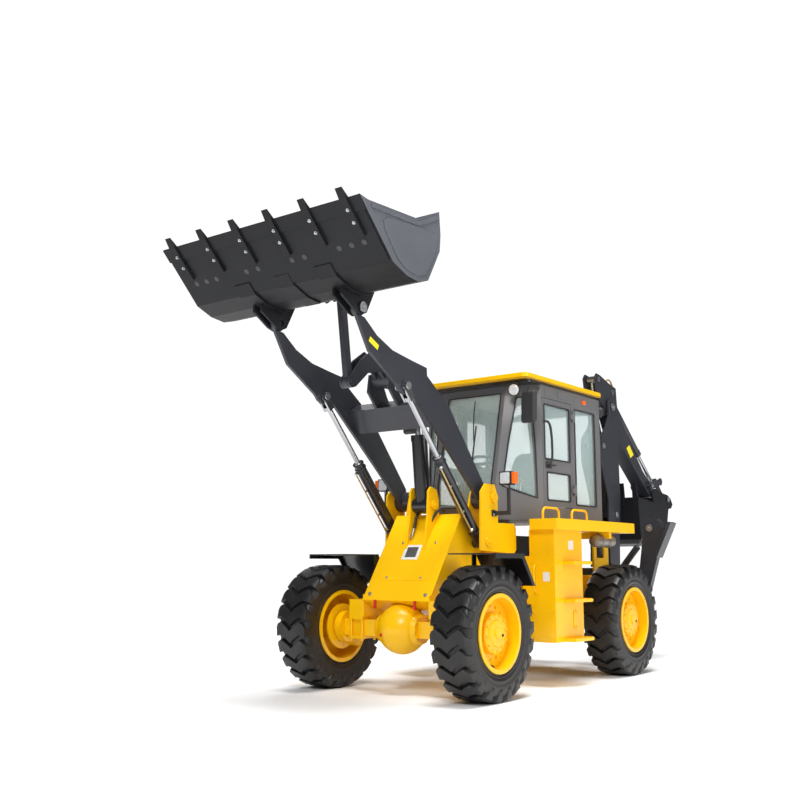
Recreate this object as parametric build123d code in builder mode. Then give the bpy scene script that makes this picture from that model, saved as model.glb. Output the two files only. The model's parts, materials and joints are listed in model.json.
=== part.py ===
"""A backhoe loader: loader bucket and arms in front, side-shift backhoe behind, hinged in the middle.

Millimetres. +X is the machine's left, it faces -Y, and +Z is up from the ground. Outlines are given as
(station, height) points, where a station is a distance behind the front axle.
"""

import os
from math import atan2, cos, hypot, radians, sin

from build123d import *

os.makedirs("parts", exist_ok=True)

# ---- Overall layout -------------------------------------------------------------------------------
front_axle_y = -1742          # puts the origin at the middle of the footprint
wheelbase = 2755
half_track = 900
pivot_station = 1150          # the vertical pin that joins the two chassis
pin_clearance = 0.3
moving_gap = 6
slide_gap = 0.5

# ---- Wheels and axles -----------------------------------------------------------------------------
tyre_radius = 587.5
tyre_width = 380
rim_width = 351
flange_radius = 343
bead_seat_radius = 320
rim_wall = 12
disc_recess = 110
disc_thickness = 20
hub_radius = 110
hub_cap_radius = 180
hub_cap_height = 62
spindle_radius = 60
brake_disc_radius = 215
brake_disc_thickness = 20
brake_disc_inset = 155        # from the wheel's centre plane to the brake disc's middle
axle_arm = 150
axle_ball_radius = 235
axle_ball_half_length = 190
axle_flange_radius = 150
axle_flange_gap = 20
caliper_cheek = 27
caliper_gap = 5
caliper_radius = 62
seat_block_x = (400, 560)
seat_block_top = 850
axle_seat_x = (250, 310)

# ---- Front chassis --------------------------------------------------------------------------------
nose_half_width = 392
nose_outline = [(-118, 848), (420, 1660), (700, 1660), (740, 1540), (900, 1300), (900, 700), (300, 700),
                (60, 760)]
tongue_heights = (620, 1000)
tongue_thickness = 40
tongue_half_width = 90
pivot_pin_radius = 45
fork_plate = 35
fork_gap = 5
tower_inner_x = (360, 380)
tower_outer_x = (560, 580)
tower_rear_station = 1110
arm_pivot = (690, 1820)
arm_pin_radius = 40
tilt_base = (335, 1750)
tilt_ear_x = (96, 120)
lift_base = (590, 1390)
fender_x = (592, 1100)
fender_plate = 12

# ---- Loader ---------------------------------------------------------------------------------------
arm_x = (465, 495)
arm_boss_radius = 105
bucket_pin = (-1255, 3336)
bucket_pin_radius = 28
arm_nose_radius = 70
crossbeam_depth = 150
crank_pivot = (-270, 2920)
crank_pin_radius = 32
crank_front = (-815, 2812)
crank_rear = (230, 2850)
crank_plate = 20
crank_front_gap = 72          # between the two front cheeks, where the tilt link runs
crank_rear_gap = 182          # between the two rear cheeks, where the tilt cylinder runs
tilt_link_pin = (-935, 3695)
tilt_link_width = 60
tilt_link_depth = 66
lift_eye = (-618, 2749)
lift_cylinder_x = 480
lift_barrel_radius = 52
lift_rod_radius = 25
lift_barrel_length = 1030
tilt_barrel_radius = 77.5
tilt_rod_radius = 38
tilt_barrel_length = 690
bucket_half_width = 1145
bucket_plate = 20
bucket_ear_x = (501, 525)
tooth_count = 6
tooth_span = 1994
tooth_size = (70, 36)
cutting_edge = (-2035, 3967)

# ---- Rear chassis and cab -------------------------------------------------------------------------
rail_x = (250, 310)
rail_heights = (700, 1050)
rail_stations = (1400, wheelbase + 595)
deck_heights = (1517, 1625)
deck_outer_x = 1050
deck_stations = (1090, wheelbase + 115)
side_box_x = (620, 980)
side_box_stations = (1160, 1737)
side_box_bottom = 430
step_x = 1100
step_stations = (1330, 1720)
step_heights = (463, 840, 1209)
step_plate = 30
hoop_radius = 12.5
hoop_top = 1745
hoop_x = 800
cab_side_x = 720
cab_front_x = 380
cab_front_station = 1060
cab_front_lean = 235
cab_corner_station = 1430
cab_rear_station = wheelbase + 5
cab_floor = 1628
cab_waist = 2000
cab_top = 3030
cab_wall = 40
glass_thickness = 6
door_stations = (1440, 2075)
door_heights = (1765, 2900)
door_thickness = 30
door_gap = 6
hinge_x = cab_side_x + 24
hinge_pin_radius = 8
hinge_heights = (1960, 2760)
roof_x = 770
roof_stations = (1050, cab_rear_station)
roof_thickness = 45
lining_height = 32

# ---- Backhoe --------------------------------------------------------------------------------------
boom_x = 270                  # where the sliding carriage stands at rest
shift_frame_x = 950
shift_frame_stations = (wheelbase + 595, wheelbase + 730)
shift_frame_heights = (450, 1100)
shift_plate = 20
swing_station = wheelbase + 835
swing_pin_radius = 40
carriage_half_width = 280
boom_foot = (wheelbase + 995, 860)
boom_half_width = 130
boom_plate = 20
ram_base = (wheelbase + 805, 1270)
ram_pin = (wheelbase + 735, 2600)
stick_ram_base = (wheelbase + 1035, 1776)
stick_pivot = (wheelbase + 1021, 3110)
stick_head = (wheelbase + 756, 3430)
stick_half_width = 85
stick_plate = 18
stick_tip = (wheelbase + 2235, 2110)
hoe_ram_base = (wheelbase + 1138, 3312)
hoe_ram_eye = (wheelbase + 2422, 2269)
rocker_pivot = (wheelbase + 2125, 2192)
bucket_link_pin = (wheelbase + 2676, 2045)
hoe_pin_radius = 28
hoe_half_width = 300
hoe_plate = 18
hoe_tooth_count = 4
stabilizer_station = wheelbase + 660
stabilizer_pivot = (800, 550)
stabilizer_top = (1035, 1690)
stabilizer_ram_base = (390, 840)
stabilizer_ram_pin = (1007, 1590)
stabilizer_depth = 80
boom_pin_radius = 35


def along(station):
    """The Y of a station."""
    return front_axle_y + station


def plate(points, x_from, x_to, mode=Mode.ADD):
    """A flat plate with an outline of (station, height) points, between two X faces."""
    x_from, x_to = sorted((x_from, x_to))
    with BuildSketch(Plane.YZ.offset(x_from)) as outline:
        with BuildLine():
            Polyline(*[(along(station), height) for station, height in points], close=True)
        make_face()
    extrude(outline.sketch, amount=x_to - x_from, mode=mode)


def disc(centre, radius, x_from, x_to, mode=Mode.ADD):
    """A round boss, pin or bore that runs across the machine at a (station, height) centre."""
    x_from, x_to = sorted((x_from, x_to))
    with BuildSketch(Plane.YZ.offset(x_from)) as outline:
        with Locations((along(centre[0]), centre[1])):
            Circle(radius)
    extrude(outline.sketch, amount=x_to - x_from, mode=mode)


def block(x_range, stations, heights, mode=Mode.ADD):
    """A rectangular block between two X, two stations and two heights."""
    with BuildSketch(Plane.XY.offset(heights[0])) as outline:
        with Locations(((x_range[0] + x_range[1]) / 2, along((stations[0] + stations[1]) / 2))):
            Rectangle(abs(x_range[1] - x_range[0]), abs(stations[1] - stations[0]))
    extrude(outline.sketch, amount=heights[1] - heights[0], mode=mode)


def prism(points, heights, mode=Mode.ADD):
    """An upright prism on a plan of (x, station) points, between two heights."""
    with BuildSketch(Plane.XY.offset(heights[0])) as outline:
        with BuildLine():
            Polyline(*[(x, along(station)) for x, station in points], close=True)
        make_face()
    extrude(outline.sketch, amount=heights[1] - heights[0], mode=mode)


def post(x, station, radius, heights, mode=Mode.ADD):
    """An upright round pin or bore between two heights."""
    with BuildSketch(Plane.XY.offset(heights[0])) as outline:
        with Locations((x, along(station))):
            Circle(radius)
    extrude(outline.sketch, amount=heights[1] - heights[0], mode=mode)


def bar(start, end, radius, x, mode=Mode.ADD):
    """A round bar between two (station, height) points in the plane at one X."""
    reach = (0, end[0] - start[0], end[1] - start[1])
    with BuildSketch(Plane(origin=(x, along(start[0]), start[1]), x_dir=(1, 0, 0), z_dir=reach)) as outline:
        Circle(radius)
    extrude(outline.sketch, amount=hypot(*reach), mode=mode)


def between(start, end, distance):
    """The (station, height) point at a distance from start on the way to end."""
    share = distance / hypot(end[0] - start[0], end[1] - start[1])
    return (start[0] + (end[0] - start[0]) * share, start[1] + (end[1] - start[1]) * share)


def ring(inner, outer, x_from, x_to, mode=Mode.ADD):
    """A washer-shaped slice round the X axis, for turned parts made at the origin."""
    x_from, x_to = sorted((x_from, x_to))
    with BuildSketch(Plane.YZ.offset(x_from)) as outline:
        Circle(outer)
        if inner:
            Circle(inner, mode=Mode.SUBTRACT)
    extrude(outline.sketch, amount=x_to - x_from, mode=mode)


def ball(station, clearance=0, mode=Mode.ADD):
    """An axle's round middle housing, cut flat at both ends, or with a clearance the space round it."""
    radius, half = axle_ball_radius + clearance, axle_ball_half_length + clearance
    rim_radius = (radius ** 2 - half ** 2) ** 0.5
    origin = (0, along(station), tyre_radius)
    with BuildSketch(Plane(origin=origin, x_dir=(1, 0, 0), z_dir=(0, 0, 1))) as section:
        with BuildLine():
            Polyline((half, rim_radius), (half, 0), (-half, 0), (-half, rim_radius))
            ThreePointArc((-half, rim_radius), (0, radius), (half, rim_radius))
        make_face()
    revolve(section.sketch, axis=Axis(origin, (1, 0, 0)), mode=mode)


def behind(points):
    """(station, height) points from points whose stations are measured behind the rear axle."""
    return [(wheelbase + station, height) for station, height in points]


def finish(builder, name):
    """Label a finished piece and write its file."""
    builder.part.label = name
    export_step(builder.part, f"parts/{name}.step")


# ---- Wheels: four tyres on four rims --------------------------------------------------------------
half_rim = rim_width / 2
half_tyre = tyre_width / 2
rim_disc_face = half_rim - disc_recess
brake_face = -(brake_disc_inset - brake_disc_thickness / 2)

with BuildPart() as tyre:
    with BuildSketch(Plane.XY) as section:
        with BuildLine():
            bead = half_rim - rim_wall - 3
            half_section = [(bead, bead_seat_radius + pin_clearance), (bead, flange_radius + 3),
                            (half_tyre, flange_radius + 90), (half_tyre, tyre_radius - 80),
                            (half_tyre - 35, tyre_radius)]
            Polyline(*half_section, *[(-x, radius) for x, radius in reversed(half_section)], close=True)
        make_face()
    revolve(section.sketch, axis=Axis.X)
    fillet(tyre.edges().filter_by(GeomType.CIRCLE).sort_by(SortBy.RADIUS)[-4:], radius=25)

with BuildPart() as rim:
    ring(bead_seat_radius - rim_wall, bead_seat_radius, -half_rim, half_rim)
    for side in (-1, 1):
        ring(bead_seat_radius - rim_wall, flange_radius, side * half_rim, side * (half_rim - rim_wall))
    ring(0, bead_seat_radius - rim_wall / 2, rim_disc_face - disc_thickness, rim_disc_face)
    ring(0, hub_cap_radius, rim_disc_face, rim_disc_face + hub_cap_height)
    fillet(rim.edges().filter_by(GeomType.CIRCLE).group_by(Axis.X)[-3].sort_by(SortBy.RADIUS)[0], radius=18)
    ring(0, hub_radius, brake_face - brake_disc_thickness, rim_disc_face)
    ring(0, brake_disc_radius, brake_face - brake_disc_thickness, brake_face)
    ring(0, spindle_radius + pin_clearance, brake_face - brake_disc_thickness, rim_disc_face - 15,
         mode=Mode.SUBTRACT)

wheel_places = [("front_left", 1, 0), ("front_right", -1, 0), ("rear_left", 1, wheelbase),
                ("rear_right", -1, wheelbase)]
for corner, side, station in wheel_places:
    turn = 0 if side > 0 else 180
    place = Location((side * half_track, along(station), tyre_radius), (0, 0, turn))
    for kind, master in (("tyre", tyre), ("rim", rim)):
        with BuildPart() as wheel_piece:
            add(master.part.moved(place))
        finish(wheel_piece, f"{kind}_{corner}")

# ---- Axles: each a cast housing with brake calipers, bolted to its chassis ------------------------
flange_x = half_track - brake_disc_inset - brake_disc_thickness / 2 - axle_flange_gap
spindle_end = half_track + rim_disc_face - 25
caliper_direction = radians(-40)
for axle_name, station, seat_x in (("front_axle", 0, seat_block_x), ("rear_axle", wheelbase, axle_seat_x)):
    with BuildPart() as axle:
        centre = (station, tyre_radius)
        block((-flange_x, flange_x), (station - axle_arm / 2, station + axle_arm / 2),
              (tyre_radius - axle_arm / 2, tyre_radius + axle_arm / 2))
        ball(station)
        for side in (-1, 1):
            disc(centre, axle_flange_radius, side * (flange_x - 75), side * flange_x)
            inner_cheek = side * (flange_x + axle_flange_gap - caliper_gap)
            outer_cheek = side * (flange_x + axle_flange_gap + brake_disc_thickness + caliper_gap)
            toward = (station + 205 * cos(caliper_direction), tyre_radius + 205 * sin(caliper_direction))
            disc(toward, caliper_radius, inner_cheek - side * 2 * caliper_cheek, outer_cheek + side * caliper_cheek)
            disc(centre, brake_disc_radius + caliper_gap, inner_cheek, outer_cheek, mode=Mode.SUBTRACT)
            disc(centre, spindle_radius, side * flange_x, side * spindle_end)
            block((side * seat_x[0], side * seat_x[1]), (station - 110, station + 110),
                  (tyre_radius + axle_arm / 2, rail_heights[0] if station else 690))
            block((side * seat_x[0], side * seat_x[1]), (station - 110, station + 110),
                  (tyre_radius - axle_arm / 2 - 30, tyre_radius - axle_arm / 2))
            for bolt in (-92, 92):
                for bolt_x in (seat_x[0] + 14, seat_x[1] - 14):
                    post(side * bolt_x, station + bolt, 12,
                         (tyre_radius - axle_arm / 2 - 50, tyre_radius + axle_arm / 2))
    finish(axle, axle_name)

# ---- Front chassis: the nose box, its pivot tongues and the two loader towers ---------------------
with BuildPart() as front_frame:
    plate(nose_outline, -nose_half_width, nose_half_width)
    ball(0, moving_gap, mode=Mode.SUBTRACT)
    for height in tongue_heights:
        slab = (height - tongue_thickness / 2, height + tongue_thickness / 2)
        if height - tongue_thickness / 2 < nose_outline[5][1]:
            block((-200, 200), (860, 900), (slab[0], nose_outline[5][1]))
        block((-tongue_half_width, tongue_half_width), (860, pivot_station), slab)
        post(0, pivot_station, tongue_half_width, slab)
        post(0, pivot_station, pivot_pin_radius + pin_clearance, slab, mode=Mode.SUBTRACT)
    for side in (-1, 1):
        block((side * nose_half_width, side * seat_block_x[1]), (-110, 110), (690, seat_block_top))
        block((side * 380, side * nose_half_width), (-110, 300), (690, 900))
        plate([(540, 1500), (800, 1500), (800, 1640), (775, 1850), (730, 1925), (650, 1925), (600, 1850),
               (545, 1640)], side * tower_inner_x[0], side * tower_inner_x[1])
        plate([(465, 1310), (tower_rear_station - 40, 1285), (tower_rear_station, 1325),
               (tower_rear_station, 1540), (tower_rear_station - 40, 1580), (775, 1580), (770, 1850),
               (720, 1950), (560, 1950), (480, 1870)], side * tower_outer_x[0], side * tower_outer_x[1])
        block((side * tower_inner_x[0], side * tower_outer_x[1]), (760, tower_rear_station - 60),
              (1265, 1290))
        block((side * tower_inner_x[0], side * tower_outer_x[1]), (900, tower_rear_station - 60),
              (1290, 1400))
        disc(lift_base, 45, side * (lift_cylinder_x + 64), side * tower_outer_x[1])
        disc(arm_pivot, arm_pin_radius, side * tower_inner_x[0], side * (tower_outer_x[1] + 14))
        ear = [(240, 1380), (430, 1640), (430, 1800), (395, 1900), (300, 1925), (262, 1880), (250, 1640),
               (190, 1330)]
        plate(ear, side * tilt_ear_x[0], side * tilt_ear_x[1])
    disc(tilt_base, 34, -(tilt_ear_x[1] + 10), tilt_ear_x[1] + 10)
finish(front_frame, "front_frame")

with BuildPart() as front_fenders:
    top = 1280
    for side in (-1, 1):
        upper = [(-100, top), (370, top), (575, 985)]
        lower = [(565, 985), (365, top - fender_plate), (-100, top - fender_plate)]
        plate(upper + lower, side * fender_x[0], side * fender_x[1])
        skirt = [(-100, top), (370, top), (575, 985), (530, 985), (340, top - 45), (-100, top - 45)]
        plate(skirt, side * (fender_x[1] - fender_plate), side * fender_x[1])
        block((side * tower_outer_x[1], side * fender_x[0]), (300, 365), (1050, top))
        block((side * nose_half_width, side * fender_x[0]), (320, 345), (1050, 1110))
finish(front_fenders, "front_fenders")

with BuildPart() as headlamps:
    for side in (-1, 1):
        block((side * tower_outer_x[1], side * (tower_outer_x[1] + 12)), (660, 740), (1640, 1700))
        block((side * (tower_outer_x[1] + 12), side * 765), (690, 710), (1650, 1690))
        block((side * 740, side * 765), (685, 715), (1650, 1950))
        block((side * 685, side * 815), (640, 720), (1935, 2065))
        block((side * 815, side * 850), (650, 700), (1950, 2050))
finish(headlamps, "headlamps")

# ---- Loader arms, bellcrank, link and bucket ------------------------------------------------------
arm_outline = [(-1180, 3267), (-1009, 3139), (-790, 3045), (-512, 2999), (-278, 2965), (-275, 2893), (73, 2652),
               (665, 1950), (720, 1780), (600, 1770), (-368, 2602), (-499, 2716), (-555, 2705),
               (-680, 2700), (-738, 2756), (-1112, 2986), (-1298, 3285)]
beam_low = (-120, 2440)
beam_high = (-250, 2650)
beam_run = hypot(beam_high[0] - beam_low[0], beam_high[1] - beam_low[1])
beam_back = ((beam_high[1] - beam_low[1]) / beam_run * crossbeam_depth,
             (beam_low[0] - beam_high[0]) / beam_run * crossbeam_depth)

with BuildPart() as loader_arms:
    for side in (-1, 1):
        plate(arm_outline, side * arm_x[0], side * arm_x[1])
        disc(bucket_pin, arm_nose_radius, side * (arm_x[0] - 12), side * arm_x[1])
        disc(arm_pivot, arm_boss_radius, side * (tower_inner_x[1] + moving_gap),
             side * (tower_outer_x[0] - moving_gap))
        disc(arm_pivot, arm_pin_radius + pin_clearance, side * tower_inner_x[0], side * tower_outer_x[1],
             mode=Mode.SUBTRACT)
        disc(bucket_pin, bucket_pin_radius, side * (arm_x[0] - 24), side * (bucket_ear_x[1] + 14))
        disc(lift_eye, 72, side * arm_x[0], side * arm_x[1])
        disc(lift_eye, 26, side * (arm_x[0] - 45), side * (arm_x[1] + 45))
    plate([beam_low, beam_high, (beam_high[0] + beam_back[0], beam_high[1] + beam_back[1]),
           (beam_low[0] + beam_back[0], beam_low[1] + beam_back[1])], -arm_x[0], arm_x[0])
    inner = crank_rear_gap / 2 + crank_plate + moving_gap
    for side in (-1, 1):
        plate([(-170, 2520), (-250, 2650), (-375, 2790), (-350, 2960), (-270, 3000), (-190, 2960), (-95, 2780),
               (0, 2640)], side * inner, side * (inner + 25))
        disc(crank_pivot, crank_pin_radius, side * 10, side * (inner + 37))
finish(loader_arms, "loader_arms")

with BuildPart() as bellcrank:
    front_x = crank_front_gap / 2
    rear_x = crank_rear_gap / 2
    for side in (-1, 1):
        plate([(-851, 2850), (-690, 3036), (-533, 3143), (-300, 3010), (-270, 2850), (-427, 2960), (-584, 2930),
               (-768, 2770)], side * front_x, side * (front_x + crank_plate))
        disc(crank_front, 55, side * front_x, side * (front_x + crank_plate))
        plate([(-290, 3000), (-60, 2960), (215, 2908), (245, 2792), (100, 2845), (-60, 2858),
               (-290, 2850)],
              side * rear_x, side * (rear_x + crank_plate))
        disc(crank_rear, 60, side * rear_x, side * (rear_x + crank_plate))
        disc(crank_front, 30, side * (front_x - 5), side * (front_x + crank_plate + 12))
    disc(crank_pivot, 80, -(rear_x + crank_plate), rear_x + crank_plate)
    disc(crank_pivot, crank_pin_radius + pin_clearance, -(rear_x + crank_plate), rear_x + crank_plate,
         mode=Mode.SUBTRACT)
    disc(crank_front, 30, -(front_x + crank_plate), front_x + crank_plate)
finish(bellcrank, "bellcrank")

with BuildPart() as tilt_link:
    half_link = tilt_link_width / 2
    run = (tilt_link_pin[0] - crank_front[0], tilt_link_pin[1] - crank_front[1])
    with BuildSketch(Plane(origin=(0, along(crank_front[0]), crank_front[1]), x_dir=(1, 0, 0),
                           z_dir=(0, *run))) as section:
        Rectangle(tilt_link_width, tilt_link_depth)
    extrude(section.sketch, amount=hypot(*run))
    for end in (crank_front, tilt_link_pin):
        disc(end, 55, -half_link, half_link)
    disc(crank_front, 30 + pin_clearance, -half_link, half_link, mode=Mode.SUBTRACT)
finish(tilt_link, "tilt_link")

bucket_rear = [(-1622, 3532), (-1450, 3463), (-1289, 3443), (-1150, 3483), (-982, 3775), (-969, 3921),
               (-987, 4121)]
bucket_cheek = [cutting_edge, *bucket_rear, (-1299, 3975), (-1929, 3950)]
with BuildPart() as loader_bucket:
    plate(bucket_cheek, -bucket_half_width, bucket_half_width)
    edge_x, edge_z = bucket_plate * 0.73, bucket_plate * 0.68
    inside = [(cutting_edge[0] - edge_x, cutting_edge[1] + edge_z), (-1600, 3556), (-1445, 3484),
              (-1295, 3463), (-1162, 3501), (-1001, 3781), (-989, 3921), (-1008, 4122), (-1010, 4300),
              (-2100, 4300)]
    plate(inside, -(bucket_half_width - bucket_plate), bucket_half_width - bucket_plate,
          mode=Mode.SUBTRACT)
    for side in (-1, 1):
        for ear_x in (bucket_ear_x, (435 - 18, 435)):
            plate([(-1514, 3488), (-1514, 3400), (-1330, 3290), (-1255, 3270), (-1190, 3300), (-1086, 3500),
                   (-1086, 3600), (-1150, 3485), (-1289, 3445), (-1450, 3465)], side * ear_x[0], side * ear_x[1])
            disc(bucket_pin, bucket_pin_radius + pin_clearance, side * 400, side * 560, mode=Mode.SUBTRACT)
        plate([(-1120, 3535), (-975, 3790), (-905, 3760), (-878, 3695), (-905, 3620), (-1060, 3500)],
              side * (half_link + moving_gap), side * (half_link + moving_gap + 22))
        disc(tilt_link_pin, 28, side * (half_link + 1.5), side * (half_link + moving_gap + 40))
    tooth_step = tooth_span / (tooth_count - 1)
    floor_run = (-1622 - cutting_edge[0], 3532 - cutting_edge[1])
    floor_length = hypot(*floor_run)
    for number in range(tooth_count):
        tooth_x = -tooth_span / 2 + number * tooth_step
        tip = (cutting_edge[0] - 81, cutting_edge[1] + 57)
        shank = between(cutting_edge, (-1622, 3532), 330)
        under = (floor_run[1] / floor_length * tooth_size[1], -floor_run[0] / floor_length * tooth_size[1])
        plate([tip, cutting_edge, shank, (shank[0] + under[0], shank[1] + under[1]),
               (cutting_edge[0] + under[0], cutting_edge[1] + under[1])],
              tooth_x - tooth_size[0] / 2, tooth_x + tooth_size[0] / 2)
finish(loader_bucket, "loader_bucket")


def cylinder_pair(name, x, base, eye, barrel_radius, rod_radius, barrel_length, rod_start, base_end,
                  rod_end):
    """A ram: its barrel with a base eye or fork, and its rod with an eye, both along base to eye.

    rod_start is how far from the base the rod begins at rest. base_end and rod_end each give (radius,
    half width, pin bore radius), and a bore of 0 leaves none.
    """
    gland = between(base, eye, barrel_length)
    bottom = between(base, eye, base_end[0] + 12)
    with BuildPart() as barrel:
        bar(bottom, gland, barrel_radius, x)
        bar(between(base, eye, barrel_length - 60), gland, barrel_radius + 6, x)
        bar(between(base, eye, base_end[0] * 0.5), bottom, min(barrel_radius, base_end[1]) * 0.9, x)
        disc(base, base_end[0], x - base_end[1], x + base_end[1])
        bar(between(base, eye, base_end[0] + 40), gland, rod_radius + pin_clearance, x,
            mode=Mode.SUBTRACT)
        if base_end[2]:
            disc(base, base_end[2], x - base_end[1], x + base_end[1], mode=Mode.SUBTRACT)
    finish(barrel, f"{name}_barrel")
    with BuildPart() as piston_rod:
        bar(between(base, eye, rod_start), eye, rod_radius, x)
        disc(eye, rod_end[0], x - rod_end[1], x + rod_end[1])
        if rod_end[2]:
            disc(eye, rod_end[2], x - rod_end[1], x + rod_end[1], mode=Mode.SUBTRACT)
    finish(piston_rod, f"{name}_rod")


# ---- Loader cylinders -----------------------------------------------------------------------------
cylinder_pair("tilt", 0, tilt_base, crank_rear, tilt_barrel_radius, tilt_rod_radius, tilt_barrel_length, 570,
              (78, 85, 34 + pin_clearance), (62, 60, 0))
for side_name, side in (("left", 1), ("right", -1)):
    x = side * lift_cylinder_x
    gland = between(lift_base, lift_eye, lift_barrel_length)
    with BuildPart() as lift_barrel:
        bar(lift_base, gland, lift_barrel_radius, x)
        disc(lift_base, 58, x - 50, x + 50)
        bar(between(lift_base, lift_eye, 110), gland, lift_rod_radius + pin_clearance, x, mode=Mode.SUBTRACT)
    finish(lift_barrel, f"lift_{side_name}_barrel")
    with BuildPart() as lift_rod:
        throat = between(lift_eye, lift_base, 145)
        bar(between(lift_base, lift_eye, lift_barrel_length - 120), throat, lift_rod_radius, x)
        bar(throat, between(lift_eye, lift_base, 105), 42, x)
        for cheek in (-1, 1):
            near = x + cheek * (arm_x[1] - arm_x[0] + 2 * moving_gap) / 2
            disc(lift_eye, 45, near, near + cheek * 20)
            reach = (0, lift_base[0] - lift_eye[0], lift_base[1] - lift_eye[1])
            with BuildSketch(Plane(origin=(near + cheek * 10, along(lift_eye[0]), lift_eye[1]),
                                   x_dir=(1, 0, 0), z_dir=reach)) as section:
                Rectangle(20, 80)
            extrude(section.sketch, amount=145)
            disc(lift_eye, 26 + pin_clearance, near, near + cheek * 20, mode=Mode.SUBTRACT)
    finish(lift_rod, f"lift_{side_name}_rod")

# ---- Rear chassis, engine and side boxes ----------------------------------------------------------
with BuildPart() as rear_frame:
    for side in (-1, 1):
        block((side * rail_x[0], side * rail_x[1]), rail_stations, rail_heights)
        block((side * rail_x[1], side * side_box_x[0]), (1450, 1560), (760, 900))
        block((side * 510, side * 530), (wheelbase + 145, wheelbase + 515), (950, 1500))
        block((side * 490, side * 550), (wheelbase + 215, wheelbase + 415), (1250, 1440), mode=Mode.SUBTRACT)
        block((side * rail_x[1], side * 530), (wheelbase + 425, wheelbase + 515), (950, 1040))
    block((-rail_x[1], rail_x[1]), (1330, 1400), (540, 1100))
    block((-rail_x[0], rail_x[0]), (rail_stations[1] - 50, rail_stations[1]), rail_heights)
    for height in tongue_heights:
        for level in (-1, 1):
            near = height + level * (tongue_thickness / 2 + fork_gap)
            slab = sorted((near, near + level * fork_plate))
            block((-150, 150), (pivot_station, 1335), slab)
            post(0, pivot_station, 110, slab)
        ends = tongue_thickness / 2 + fork_gap + fork_plate + 10
        post(0, pivot_station, pivot_pin_radius, (height - ends, height + ends))
finish(rear_frame, "rear_frame")

with BuildPart() as engine_block:
    block((-rail_x[0] + 20, rail_x[0] - 20), (1600, 2450), (760, 1480))
    for side in (-1, 1):
        block((side * (rail_x[0] - 20), side * rail_x[0]), (1700, 1800), (800, 900))
        block((side * (rail_x[0] - 20), side * rail_x[0]), (2250, 2350), (800, 900))
finish(engine_block, "engine_block")

with BuildPart() as side_boxes:
    for side in (-1, 1):
        block((side * side_box_x[0], side * side_box_x[1]), side_box_stations,
              (side_box_bottom, deck_heights[0]))
        prism([(side * x, station) for x, station in ((610, 1150), (708, 1150), (612, 1305), (610, 1305))],
              (1260, deck_heights[0]), mode=Mode.SUBTRACT)
        for height in step_heights:
            block((side * side_box_x[1], side * step_x), step_stations, (height - step_plate, height))
finish(side_boxes, "side_boxes")

with BuildPart() as decks:
    for side in (-1, 1):
        corners = [(750, deck_stations[0]), (deck_outer_x, deck_stations[0]), (deck_outer_x, deck_stations[1]),
                   (cab_side_x + 6, deck_stations[1]), (cab_side_x + 6, 1400), (625, 1300)]
        prism([(side * x, station) for x, station in corners], deck_heights)
        block((side * rail_x[1], side * (rail_x[1] + 50)), (2330, 2390), (1000, deck_heights[0]))
        block((side * rail_x[1], side * 1000), (2330, 2390), (1450, deck_heights[0]))
        for first, last in ((1270, 1600), (1880, 2220)):
            with BuildLine(mode=Mode.PRIVATE) as path:
                FilletPolyline((side * hoop_x, along(first), deck_heights[1]),
                               (side * hoop_x, along(first), hoop_top),
                               (side * hoop_x, along(last), hoop_top),
                               (side * hoop_x, along(last), deck_heights[1]), radius=60)
            with BuildSketch(Plane.XY.offset(deck_heights[1])) as tube:
                with Locations((side * hoop_x, along(first))):
                    Circle(hoop_radius)
            sweep(tube.sketch, path=path.line)
finish(decks, "decks")

# ---- Cab ------------------------------------------------------------------------------------------


def cab_plan(height, inset, lean):
    """The cab's six-sided plan at a height, drawn inwards by inset, its front set back by lean."""
    with BuildSketch(Plane.XY.offset(height)) as plan:
        with BuildLine():
            left = [(cab_front_x, cab_front_station + lean), (cab_side_x, cab_corner_station),
                    (cab_side_x, cab_rear_station)]
            corners = left + [(-x, station) for x, station in reversed(left)]
            Polyline(*[(x, along(station)) for x, station in corners], close=True)
        make_face()
        if inset:
            offset(amount=-inset, kind=Kind.INTERSECTION, mode=Mode.REPLACE)
    return plan.sketch


def cab_shape(inset, bottom, top, mode=Mode.ADD):
    """The cab's body, drawn inwards by inset: upright below the waist, its front leaning back above."""
    extrude(cab_plan(bottom, inset, 0), amount=cab_waist - bottom, mode=mode)
    sections = [cab_plan(cab_waist, inset, 0), cab_plan(top, inset, cab_front_lean)]
    loft(sections, ruled=True, mode=mode)


with BuildPart() as cab_windows:
    block((-330, 330), (900, 1500), (1760, 2950))
    block((-600, 600), (cab_rear_station - 100, cab_rear_station + 100), (1810, 2880))
    for side in (-1, 1):
        block((side * (cab_side_x - 100), side * (cab_side_x + 100)), (2150, 2620), (1810, 2850))
        plate([(1110, 1970), (1385, 1850), (1385, 2900), (1318, 2900)], side * 345, side * 900)

with BuildPart() as cab_frame:
    cab_shape(0, cab_floor, cab_top)
    cab_shape(cab_wall, cab_floor + 12, cab_top - cab_wall, mode=Mode.SUBTRACT)
    add(cab_windows.part, mode=Mode.SUBTRACT)
    for side in (-1, 1):
        block((side * (cab_side_x - 100), side * (cab_side_x + 10)), door_stations, door_heights,
              mode=Mode.SUBTRACT)
        for height in hinge_heights:
            post(side * hinge_x, door_stations[1] + 12, hinge_pin_radius, (height - 56, height + 56))
            for level in (-1, 1):
                slab = sorted((height + level * 36, height + level * 56))
                post(side * hinge_x, door_stations[1] + 12, 15, slab)
                block((side * (cab_side_x - 6), side * hinge_x), (door_stations[1] + 8, door_stations[1] + 27),
                      slab)
        block((side * rail_x[1], side * (rail_x[1] + 60)), (2150, 2250), (1000, cab_floor))
finish(cab_frame, "cab_frame")

with BuildPart() as cab_glass:
    middle = (cab_wall - glass_thickness) / 2
    cab_shape(middle, cab_floor, cab_top)
    cab_shape(middle + glass_thickness, cab_floor, cab_top, mode=Mode.SUBTRACT)
    add(cab_windows.part, mode=Mode.INTERSECT)
finish(cab_glass, "cab_glass")

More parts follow.
